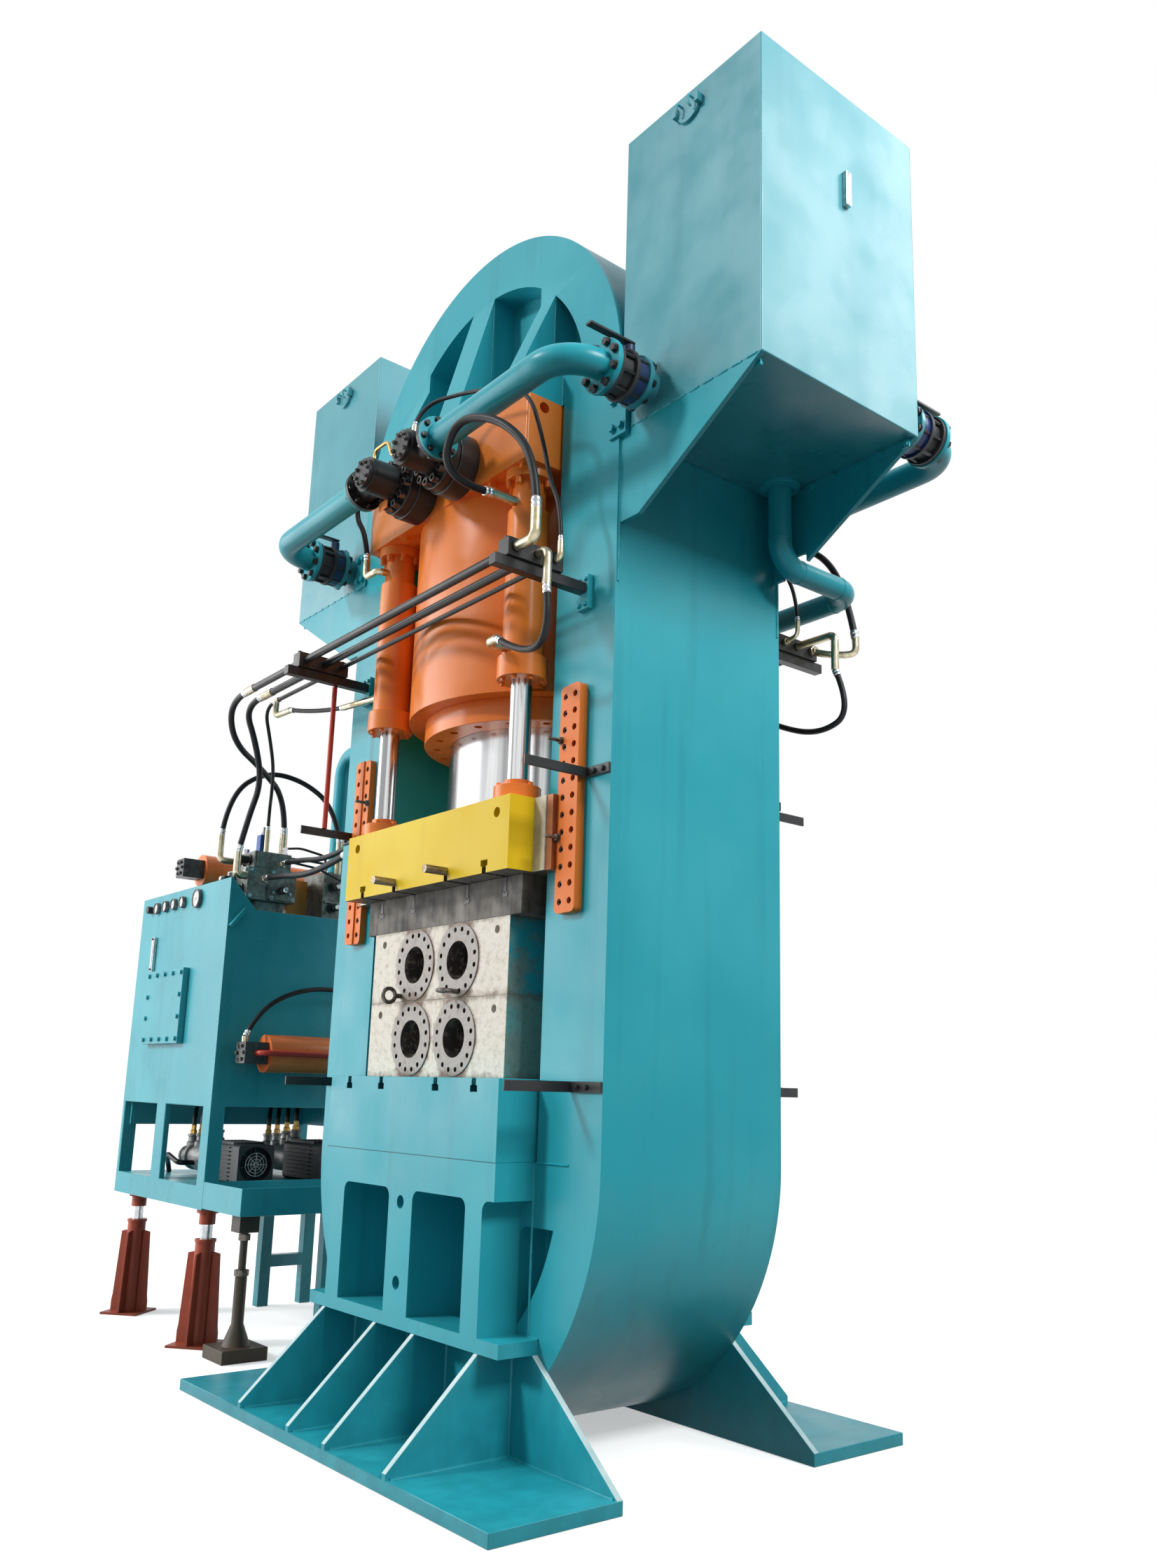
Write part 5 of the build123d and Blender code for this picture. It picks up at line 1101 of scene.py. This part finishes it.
cover_rim = 0.030
cover_bolts = []
for i in range(5):
    x = cover_low.x + cover_rim + (cover_high.x - cover_low.x - 2 * cover_rim) * i / 4
    cover_bolts += [(Vector((x, cover_low.y, z)), FRONT) for z in (cover_low.z + cover_rim, cover_high.z - cover_rim)]
for i in (1, 2):
    z = cover_low.z + cover_rim + (cover_high.z - cover_low.z - 2 * cover_rim) * i / 3
    cover_bolts += [(Vector((x, cover_low.y, z)), FRONT) for x in (cover_low.x + cover_rim, cover_high.x - cover_rim)]
screws("access_cover_bolts", cover_bolts, unit_teal, radius=0.014, height=0.011, washer=(0.018, 0.003))


def lathe(shape, profile, centre, axis, sides=40, index=0):
    """Adds a turned body to a mesh: profile is (radius, distance along the axis) from the start of the axis."""
    along = Vector(axis).normalized()
    first = along.orthogonal().normalized()
    second = along.cross(first)
    turns = [2 * math.pi * i / sides for i in range(sides)]
    rings = []
    for radius, distance in profile:
        middle = Vector(centre) + along * distance
        if radius == 0:
            rings.append([shape.verts.new(middle)])
        else:
            rings.append([shape.verts.new(middle + radius * (math.cos(a) * first + math.sin(a) * second))
                          for a in turns])
    for a, b in zip(rings, rings[1:]):
        for i in range(sides):
            j = (i + 1) % sides
            corners = [a[i % len(a)], a[j % len(a)], b[j % len(b)], b[i % len(b)]]
            corners = [v for k, v in enumerate(corners) if v not in corners[:k]]
            if len(corners) > 2:
                shape.faces.new(corners).material_index = index


bezel_steel = metal("bezel_steel", (0.16, 0.165, 0.17), (0.07, 0.07, 0.072), gloss=0.3, metallic=0.7)
dial_white = painted("dial_white", (0.80, 0.81, 0.80), (0.76, 0.77, 0.76), (0.5, 0.5, 0.5), runs=0.0, gloss=0.18,
                     spread=0.04, bump=0.0)
dial_ink = painted("dial_ink", (0.010, 0.010, 0.011), (0.014, 0.014, 0.015), (0.02, 0.02, 0.02), runs=0.0, gloss=0.4,
                   bump=0.0)
gauge_z = 2.705
small_gauges = (-3.540, -3.383, -3.228, -3.074)
gauge_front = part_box("panel_gauges")[0].y
gauges = bmesh.new()
for x, radius in [(x, 0.040) for x in small_gauges] + [(-2.818, 0.064)]:
    seat = at(x, 0, gauge_z)
    seat.y = gauge_front + 0.030
    lathe(gauges, [(radius, 0.0), (radius, 0.026), (radius * 0.96, 0.030), (radius * 0.86, 0.030),
                   (radius * 0.83, 0.024)], seat, FRONT)
    lathe(gauges, [(radius * 0.83, 0.024), (0, 0.024)], seat, FRONT, index=1)
    dial = seat.y - 0.0245
    for mark in range(11):
        angle = math.radians(225 - 27 * mark)
        aim = Vector((math.cos(angle), 0, math.sin(angle)))
        cross = Vector((-aim.z, 0, aim.x)) * radius * 0.025
        near, far = (Vector((seat.x, dial, seat.z)) + aim * radius * share for share in (0.62, 0.76))
        face = gauges.faces.new([gauges.verts.new(p) for p in (near - cross, far - cross, far + cross, near + cross)])
        face.material_index = 2
    angle = math.radians(205)
    aim = Vector((math.cos(angle), 0, math.sin(angle)))
    cross = Vector((-aim.z, 0, aim.x)) * radius * 0.035
    hub = Vector((seat.x, dial - 0.001, seat.z))
    tail = hub - aim * radius * 0.15
    tip = hub + aim * radius * 0.7
    needle = gauges.faces.new([gauges.verts.new(p) for p in (tail - cross, tip, tail + cross)])
    needle.material_index = 2
built("panel_gauges", gauges, [bezel_steel, dial_white, dial_ink], stands_for=["panel_gauges"])
knob_plastic = painted("knob_plastic", (0.012, 0.012, 0.013), (0.018, 0.018, 0.019), (0.03, 0.03, 0.03), runs=0.0,
                       gloss=0.4)
dressed("console_knob", knob_plastic, body="knob", edge=0.002)

# Motor pumps: two finned motors with round fan cowls facing the press, each driving a pump inside the bay.
# Motors are dark enamel castings with pressed grilles; the pumps are bare grey castings.
motor_grey = painted("motor_enamel", (0.020, 0.022, 0.024), (0.034, 0.036, 0.039), (0.06, 0.057, 0.050), runs=0.4,
                     gloss=0.42, cloud=5.0)
dressed("pump_motors", motor_grey, edge=0.004)
pump_grey = metal("pump_casting", (0.33, 0.34, 0.33), (0.13, 0.13, 0.125), gloss=0.42, metallic=0.55)
dressed("pumps", pump_grey, edge=0.003)
for fan in ("front", "rear"):
    dressed("motor_fan_" + fan, motor_grey, body="fan_" + fan, edge=0)
motor_end = -2.400
motor_z = 1.027
motor_half = 0.118
motor_rows = (-0.359, 0.190)
fin_left, fin_right = -2.86, -2.52
fin_half = 0.003
fin_rise = 0.014
fin_pitch = 0.025
fin_count = 9
grille_rings = (0.016, 0.034, 0.052, 0.070)
ring_turns = [2 * math.pi * i / 32 for i in range(33)]
grille_wires = []
fins = bmesh.new()
for y in motor_rows:
    for radius in grille_rings:
        ring = [at(motor_end + 0.002, y + radius * math.cos(a), motor_z + radius * math.sin(a)) for a in ring_turns]
        grille_wires += [[a, b] for a, b in zip(ring, ring[1:])]
    for spoke in range(8):
        aim = Vector((0, math.cos(math.pi * spoke / 4), math.sin(math.pi * spoke / 4)))
        hub = at(motor_end + 0.001, y, motor_z)
        grille_wires.append([hub + aim * 0.006, hub + aim * 0.072])
    for i in range(fin_count):
        across = fin_pitch * (i - (fin_count - 1) / 2)
        slab(fins, at(fin_left, y + across - fin_half, motor_z + motor_half - 0.002),
             at(fin_right, y + across + fin_half, motor_z + motor_half + fin_rise))
        for side in (-1, 1):
            near, far = sorted((y + side * motor_half, y + side * (motor_half + fin_rise)))
            slab(fins, at(fin_left, near, motor_z + across - fin_half),
                 at(fin_right, far, motor_z + across + fin_half))
grille_grey = metal("grille_wire", (0.42, 0.43, 0.43), (0.24, 0.245, 0.245), gloss=0.4, metallic=0.3)
tube("fan_grilles", grille_wires, 0.0023, grille_grey, sides=8)
built("motor_fins", fins, motor_grey, edge=0.001)
pump_ports = bmesh.new()
pump_unions = bmesh.new()
pump_lines = []
pump_bolts = []
line_bends = ((0, 0, 0.160), (0, 0, 0.230), (-0.05, 0.03, 0.300), (-0.05, 0.03, 0.36))
pump_profile = [(0, 0), (0.092, 0), (0.092, 0.030), (0.072, 0.036), (0.072, 0.120), (0.088, 0.126), (0.088, 0.165),
                (0.058, 0.172), (0.058, 0.270), (0.066, 0.274), (0.066, 0.296), (0, 0.300)]
port_profile = [(0, 0), (0.040, 0), (0.040, 0.050), (0.030, 0.056), (0.030, 0.085), (0.036, 0.089), (0.036, 0.104),
                (0, 0.104)]
union_profile = [(0, 0.104), (0.024, 0.104), (0.024, 0.128), (0.018, 0.132), (0.018, 0.165), (0, 0.165)]
for y in motor_rows:
    lathe(pump_ports, pump_profile, at(-3.218, y, motor_z), LEFT, 40)
    for x, rise in ((-3.150, 0.100), (-3.010, 0.115), (-3.300, 0.080), (-3.440, 0.070)):
        seat = at(x, y, motor_z + rise - 0.030)
        lathe(pump_ports, port_profile, seat, UP, 28)
        lathe(pump_unions, union_profile, seat, UP, 6)
        pump_lines.append([seat + Vector(step) for step in line_bends])
    pump_lines.append([at(-3.180, y - 0.060, motor_z - 0.030), at(-3.180, y - 0.190, motor_z - 0.030),
                       at(-3.360, y - 0.200, motor_z + 0.020), at(-3.540, y - 0.120, motor_z - 0.050),
                       at(-3.560, y - 0.100, 0.915)])
    pump_bolts += circle(at(-2.925, y, motor_z), LEFT, 0.095, 8, 0.2)
built("pump_ports", pump_ports, pump_grey)
built("pump_unions", pump_unions, brass)
tube("pump_lines", pump_lines, 0.017, pipe_black, bend=0.04)
screws("pump_flange_bolts", pump_bolts, zinc, radius=0.011, height=0.012)

# Valve manifold: drilled steel blocks on a pedestal over the cabinet, with slip-in valves, coils and a filter.
# Blocks are grey-green steel, the filter is orange, coils are black or blue and unions are plated.
valve_block = metal("valve_block", (0.235, 0.255, 0.235), (0.075, 0.085, 0.078), gloss=0.40, metallic=0.55)
block_steel = metal("blacked_block", (0.085, 0.085, 0.088), (0.028, 0.028, 0.030), gloss=0.40, metallic=0.6)
filter_x = -2.700


def is_filter(centre, size):
    """The filter is the block behind and left of the main manifold."""
    return abs(centre.x - axis_x - filter_x) < 0.02 and centre.z < 2.9 and abs(centre.y + 0.12) < 0.02


dressed("valve_manifold", valve_block, edge=0.003,
        keep=lambda centre, size: not is_filter(centre, size))
dressed("filter_block", orange, node="valve_manifold", edge=0.004, keep=is_filter)
coils = bmesh.new()
coil_caps = bmesh.new()
coil_places = ((-2.66, -0.560, 2.830, FRONT), (-2.52, -0.560, 2.760, FRONT), (-2.440, -0.330, 2.760, RIGHT),
               (-2.520, -0.520, 2.955, FRONT), (-2.440, 0.050, 2.690, RIGHT), (-2.440, 0.050, 2.830, RIGHT),
               (-2.440, 0.180, 2.690, RIGHT), (-2.440, 0.180, 2.830, RIGHT))
coil_profile = [(0, 0), (0.036, 0), (0.036, 0.012), (0.026, 0.014), (0.026, 0.070), (0.022, 0.074), (0, 0.074)]
cap_profile = [(0, 0.070), (0.017, 0.070), (0.017, 0.092), (0.012, 0.096), (0, 0.096)]
for x, y, z, axis in coil_places:
    lathe(coils, coil_profile, at(x, y, z), axis, 28)
    lathe(coil_caps, cap_profile, at(x, y, z), axis, 24)
built("valve_coils", coils, black)
built("valve_coil_caps", coil_caps, zinc)
coil_blue = painted("coil_blue", (0.010, 0.070, 0.300), (0.020, 0.100, 0.360), (0.01, 0.03, 0.10), gloss=0.32,
                    cloud=9.0)
blue_coil = bmesh.new()
slab(blue_coil, at(-2.645, -0.432, 3.030), at(-2.580, -0.368, 3.150))
built("pilot_coil", blue_coil, coil_blue, edge=0.006)
plated = bmesh.new()
lathe(plated, [(0, 0), (0.034, 0), (0.034, 0.018), (0.022, 0.020), (0.022, 0.030), (0, 0.030)],
      at(-2.612, -0.400, 3.009), UP, 6)
lathe(plated, [(0, 0), (0.024, 0), (0.024, 0.016), (0.015, 0.020), (0.012, 0.055), (0, 0.060)],
      at(-2.612, -0.400, 3.149), UP, 20)
union_places = ((-2.600, -0.560, 2.760, FRONT, 0.024), (-2.700, -0.560, 2.740, FRONT, 0.020),
                (-2.600, -0.520, 2.940, FRONT, 0.020), (-2.690, -0.520, 2.960, FRONT, 0.022),
                (-2.440, -0.300, 2.955, RIGHT, 0.018), (-2.480, -0.300, 3.009, UP, 0.022),
                (-2.700, -0.470, 3.009, UP, 0.020), (-2.700, -0.330, 3.009, UP, 0.018),
                (-2.560, 0.040, 2.929, UP, 0.024), (-2.640, 0.140, 2.929, UP, 0.022),
                (-2.440, 0.115, 2.760, RIGHT, 0.022))
for x, y, z, axis, size in union_places:
    lathe(plated, [(0, 0), (size, 0), (size, size * 0.8), (size * 0.72, size * 0.85), (size * 0.72, size * 1.5),
                   (size * 0.95, size * 1.5), (size * 0.95, size * 2.3), (0, size * 2.3)], at(x, y, z), axis, 6)
built("manifold_unions", plated, zinc)
face_plate = bmesh.new()
slab(face_plate, at(-2.441, -0.420, 2.700), at(-2.426, -0.228, 2.790))
slab(face_plate, at(-2.441, -0.505, 2.905), at(-2.430, -0.380, 3.000))
slab(face_plate, at(-2.441, -0.010, 2.720), at(-2.425, 0.250, 2.735))
built("block_plates", face_plate, valve_block, edge=0.002)
small_lines = [[at(-2.440, -0.300, 2.950), at(-2.370, -0.300, 2.950), at(-2.350, -0.120, 2.930),
                at(-2.380, 0.115, 2.860), at(-2.380, 0.115, 2.780)],
               [at(-2.560, 0.040, 2.960), at(-2.560, 0.040, 3.060), at(-2.560, -0.150, 3.090),
                at(-2.520, -0.300, 3.060), at(-2.480, -0.300, 3.040)],
               [at(-2.640, 0.140, 2.960), at(-2.640, 0.140, 3.020), at(-2.700, -0.060, 3.040),
                at(-2.700, -0.330, 3.030)]]
tube("manifold_lines", small_lines, 0.0085, pipe_black, sides=10, bend=0.04)
plate_screws = [(at(-2.426, y, 2.745), RIGHT) for y in (-0.385, -0.265)]
screws("plate_screws", plate_screws, zinc, radius=0.010, height=0.010)
block_screws = [(at(x, -0.560, z), FRONT) for x in (-2.72, -2.60, -2.46) for z in (2.71, 2.88)]
block_screws += [(at(-2.440, y, z), RIGHT) for y in (-0.54, -0.39, -0.24) for z in (2.71, 2.88)]
screws("block_screws", block_screws, zinc, radius=0.013, height=0.012, sides=14, socket=0.007)

# Accumulators: two orange gas bottles lying across the unit in saddles, each with a square valve block at its front.
# Shells are spun steel in orange enamel, drawn as a brighter copy that paints in light; blocks are blacked steel with
# six socket screws each.
# A red line charges the lower one.
block_middle = -0.555


def accumulator_kind(centre, size):
    """Sorts the accumulator solids by their boxes: end block, charge line, shell or saddle."""
    if abs(centre.y - block_middle) < 0.015 and size.y < 0.2:
        return "block"
    if size.y < 0.5:
        return "saddle"
    return "line" if size.z < 0.1 else "shell"


# A brighter, redder copy of the orange enamel: painted light on the accumulators, which sit in shade.
lit_vessel_orange = painted("lit_vessel_orange", (0.96, 0.205, 0.045), (0.97, 0.25, 0.065), (0.42, 0.10, 0.025), runs=0.4,
                        gloss=0.26, cloud=3.0, shine=0.34)
for kind, finish, slot, edge in (("block", block_steel, "black_paint", 0.004), ("line", signal_red, "red_paint", 0),
                                 ("shell", lit_vessel_orange, "orange_paint", 0),
                                 ("saddle", unit_teal, "teal_paint", 0.002)):
    dressed("accumulator_" + kind, finish, node="accumulators", edge=edge,
            keep=lambda centre, size, kind=kind: accumulator_kind(centre, size) == kind)
block_front = -0.631
block_circle = 0.045
vessel_axes = ((-2.150, 1.704), (-3.457, 3.000))
end_screws = []
for x, z in vessel_axes:
    end_screws += circle(at(x, block_front, z), FRONT, block_circle, 6, 0.3)
screws("accumulator_screws", end_screws, rubbed_black, radius=0.0115, height=0.011, sides=16,
       socket=0.007)

# Shop props under the unit: two red jack stands with steel posts and a dark screw jack.
# Each stand is a tube with four welded fins on a base plate, in red oxide paint; the jack is a plain casting.
stand_red = painted("stand_red", (0.40, 0.058, 0.024), (0.47, 0.082, 0.034), (0.13, 0.040, 0.022), runs=0.5,
                    gloss=0.42, cloud=5.0)
post_split = 0.53
dressed("jack_stands", stand_red, edge=0.003,
        keep=lambda centre, size: centre.z < post_split)
dressed("jack_posts", zinc, node="jack_stands", edge=0.002,
        keep=lambda centre, size: centre.z >= post_split)
stand_places = ((-2.400, -0.640), (-3.680, -0.600))
stand_turn = math.radians(40)
fin_half = 0.0065
fin_outline = [(0.050, 0.014), (0.129, 0.014), (0.129, 0.030), (0.103, 0.520), (0.050, 0.532)]
stand_fins = bmesh.new()
stand_caps = bmesh.new()
for x, y in stand_places:
    for quarter in range(4):
        turn = stand_turn + math.pi / 2 * quarter
        out = Vector((math.cos(turn), math.sin(turn), 0))
        across = Vector((-out.y, out.x, 0)) * fin_half
        back, front = ([stand_fins.verts.new(at(x, y, high) + out * reach + thick) for reach, high in fin_outline]
                       for thick in (-across, across))
        stand_fins.faces.new(back[::-1])
        stand_fins.faces.new(front)
        for i in range(len(fin_outline)):
            stand_fins.faces.new((front[i], back[i], back[i - 1], front[i - 1]))
    lathe(stand_caps, [(0.030, 0.0), (0.048, 0.0), (0.048, 0.060), (0.066, 0.066), (0.066, 0.088), (0.030, 0.088)],
          at(x, y, 0.686), UP, 32)
    lathe(stand_caps, [(0.050, 0.0), (0.064, 0.0), (0.064, 0.016), (0.050, 0.016)], at(x, y, 0.585), UP, 32)
bmesh.ops.recalc_face_normals(stand_fins, faces=stand_fins.faces)
built("stand_fins", stand_fins, stand_red, edge=0.002)
built("stand_caps", stand_caps, stand_red)
jack_iron = painted("jack_iron", (0.024, 0.022, 0.016), (0.038, 0.033, 0.023), (0.085, 0.058, 0.034), runs=0.5,
                    gloss=0.5, cloud=8.0)
dressed("screw_jack", jack_iron, edge=0.003)
jack_x, jack_y = -1.920, -0.610
jack_nuts = bmesh.new()
lathe(jack_nuts, [(0.030, 0.0), (0.042, 0.0), (0.042, 0.030), (0.022, 0.030)], at(jack_x, jack_y, 0.448), UP, 32)
lathe(jack_nuts, [(0.020, 0.0), (0.036, 0.0), (0.036, 0.034), (0.020, 0.034)], at(jack_x, jack_y, 0.640), UP, 6)
built("jack_nuts", jack_nuts, dark_steel)

# Hoses: wire-braided rubber hoses crimped into plated ends, laid between the cylinders, pipes and manifold.
# Each is one soft line along its route; its unions and crimped sleeves stay with the press.
yellow_zinc = metal("yellow_zinc", (0.56, 0.52, 0.40), (0.36, 0.31, 0.19), gloss=0.28)
dressed("hose_fittings", yellow_zinc, edge=0.001)
hose_rubber = painted("hose_rubber", (0.010, 0.0105, 0.012), (0.020, 0.021, 0.023), (0.042, 0.040, 0.037), runs=0.25,
                      gloss=0.42, cloud=11.0, bump=0.12, shine=0.20)
hoses = {
    "hose_right_upper": (0.038, 1.273, [
        (0.617, -0.820, 4.290), (0.625, -1.105, 4.252), (0.690, -1.105, 4.530), (0.975, -1.045, 4.450),
        (1.165, -0.962, 4.215), (1.172, -0.957, 3.964)]),
    "hose_right_lower": (0.032, 0.663, [
        (0.692, -0.805, 3.542), (0.930, -0.815, 3.395), (1.140, -0.835, 3.430), (1.112, -0.844, 3.665)]),
    "pilot_hose": (0.020, 1.648, [
        (0.190, -1.020, 4.740), (0.192, -0.985, 4.870), (0.430, -0.890, 4.872), (0.680, -0.868, 4.790),
        (0.905, -0.835, 4.690), (0.955, -0.785, 4.460), (0.985, -0.755, 4.240), (1.070, -0.749, 4.070),
        (1.076, -0.747, 3.910)]),
    "hose_left_upper": (0.030, 0.399, [
        (-0.745, -0.745, 4.412), (-0.738, -0.765, 4.560), (-0.795, -0.815, 4.680), (-0.735, -0.825, 4.790)]),
    "hose_left_lower": (0.026, 0.563, [
        (-1.607, -0.735, 3.731), (-1.330, -0.697, 3.660), (-1.057, -0.660, 3.640)]),
    "supply_hose_a": (0.038, 1.387, [
        (-1.750, -0.957, 3.830), (-1.998, -0.960, 3.824), (-2.012, -0.915, 3.580), (-2.270, -0.600, 3.510),
        (-2.485, -0.325, 3.395), (-2.522, -0.296, 3.155)]),
    "supply_hose_b": (0.038, 1.234, [
        (-1.772, -0.844, 3.830), (-2.020, -0.858, 3.826), (-2.005, -0.765, 3.590), (-2.120, -0.660, 3.380),
        (-2.410, -0.600, 3.220), (-2.475, -0.622, 2.990)]),
    "supply_hose_thin": (0.022, 1.085, [
        (-1.815, -0.747, 3.830), (-1.970, -0.745, 3.824), (-1.950, -0.700, 3.620), (-2.040, -0.622, 3.470),
        (-2.200, -0.550, 3.335), (-2.420, -0.458, 3.295), (-2.482, -0.430, 3.165)]),
    "manifold_hose": (0.034, 1.323, [
        (-2.640, -0.678, 3.112), (-2.638, -0.650, 3.398), (-2.610, -0.420, 3.592), (-2.575, -0.150, 3.560),
        (-2.515, 0.060, 3.392), (-2.490, 0.100, 3.155)]),
    "rear_hose": (0.030, 0.963, [
        (1.290, 0.850, 3.640), (1.400, 0.850, 3.400), (1.190, 0.842, 3.318), (0.915, 0.820, 3.412),
        (0.692, 0.805, 3.542)]),
    "accumulator_hose": (0.030, 0.966, [
        (-2.170, -0.600, 1.805), (-2.180, -0.520, 1.962), (-2.195, -0.300, 2.095), (-2.215, -0.030, 2.140),
        (-2.235, 0.238, 2.108)]),
    "rear_upper": (0.036, 1.368, [
        (0.617, 0.712, 4.290), (0.632, 1.050, 4.290), (0.790, 1.070, 4.520), (1.015, 1.060, 4.440),
        (1.190, 1.060, 4.180), (1.252, 1.060, 3.870)]),
    "rear_pilot": (0.020, 1.670, [
        (0.190, 1.020, 4.712), (0.192, 0.985, 4.870), (0.430, 0.890, 4.872), (0.680, 0.868, 4.790),
        (0.905, 0.835, 4.690), (0.955, 0.800, 4.460), (1.000, 0.790, 4.250), (1.100, 0.770, 4.080),
        (1.126, 0.755, 3.920)]),
    "column_upper": (0.034, 1.196, [
        (-2.414, -0.326, 2.945), (-2.200, -0.330, 2.940), (-1.750, -0.380, 2.880), (-1.400, -0.405, 2.900),
        (-1.226, -0.410, 2.930)]),
    "column_lower": (0.038, 1.194, [
        (-2.414, -0.442, 2.834), (-2.200, -0.447, 2.822), (-1.800, -0.470, 2.775), (-1.420, -0.485, 2.800),
        (-1.226, -0.490, 2.835)]),
}
end_fittings = {
    "rear_upper": tube("rear_elbow", [[at(1.252, 1.060, 3.880), at(1.255, 1.060, 3.788), at(1.205, 1.020, 3.785)]],
                       0.019, yellow_zinc, bend=0.04),
    "rear_pilot": tube("rear_pilot_end",
                       [[at(1.126, 0.755, 3.930), at(1.122, 0.756, 3.845), at(1.040, 0.747, 3.830)]],
                       0.012, yellow_zinc, bend=0.03),
}
tube("rear_union", [[at(1.207, 1.022, 3.785), at(1.150, 0.983, 3.790), at(1.040, 0.957, 3.830)]], 0.0195, yellow_zinc,
     bend=0.04)
sleeve_profile = ((0.9, 0.0), (1.18, 0.0), (1.26, 0.3), (1.26, 1.2), (1.18, 1.35), (1.26, 1.5), (1.26, 2.3),
                  (1.12, 2.6), (0.98, 2.6))
sleeves = bmesh.new()
for name, (diameter, length, route) in hoses.items():
    curve = bpy.data.curves.new(name, "CURVE")
    curve.dimensions = "3D"
    curve.bevel_depth = diameter / 2
    curve.bevel_resolution = 5
    curve.resolution_u = 14
    curve.use_fill_caps = True
    line = curve.splines.new("NURBS")
    line.points.add(len(route) - 1)
    for point, place in zip(line.points, route):
        point.co = (*at(*place), 1)
    line.order_u = 3
    line.use_endpoint_u = True
    curve.materials.append(hose_rubber)
    hose = placed(name + "_line", curve)
    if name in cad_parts:
        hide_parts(name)
    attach(hose, "base")
    half = diameter / 2
    sleeve = [(half * out, half * along) for out, along in sleeve_profile]
    for end, inner in ((route[0], route[1]), (route[-1], route[-2])):
        lathe(sleeves, sleeve, at(*end), at(*inner) - at(*end), 24)
built("hose_sleeves", sleeves, zinc)
hose_nuts = bmesh.new()
nut_places = (((0.617, 0.680, 4.290), BACK, 0.030, 0.060), ((0.190, 1.020, 4.690), UP, 0.017, 0.034),
              ((-2.440, -0.326, 2.945), RIGHT, 0.027, 0.028), ((-2.440, -0.442, 2.834), RIGHT, 0.030, 0.028),
              ((-1.200, -0.410, 2.930), LEFT, 0.027, 0.028), ((-1.200, -0.490, 2.835), LEFT, 0.030, 0.028),
              ((1.045, 0.957, 3.830), RIGHT, 0.027, 0.030), ((1.045, 0.747, 3.830), RIGHT, 0.019, 0.026))
for place, axis, size, reach in nut_places:
    lathe(hose_nuts, [(0, 0), (size, 0), (size, reach * 0.55), (size * 0.8, reach * 0.62), (size * 0.8, reach),
                      (0, reach)], at(*place), axis, 6)
built("hose_nuts", hose_nuts, yellow_zinc)
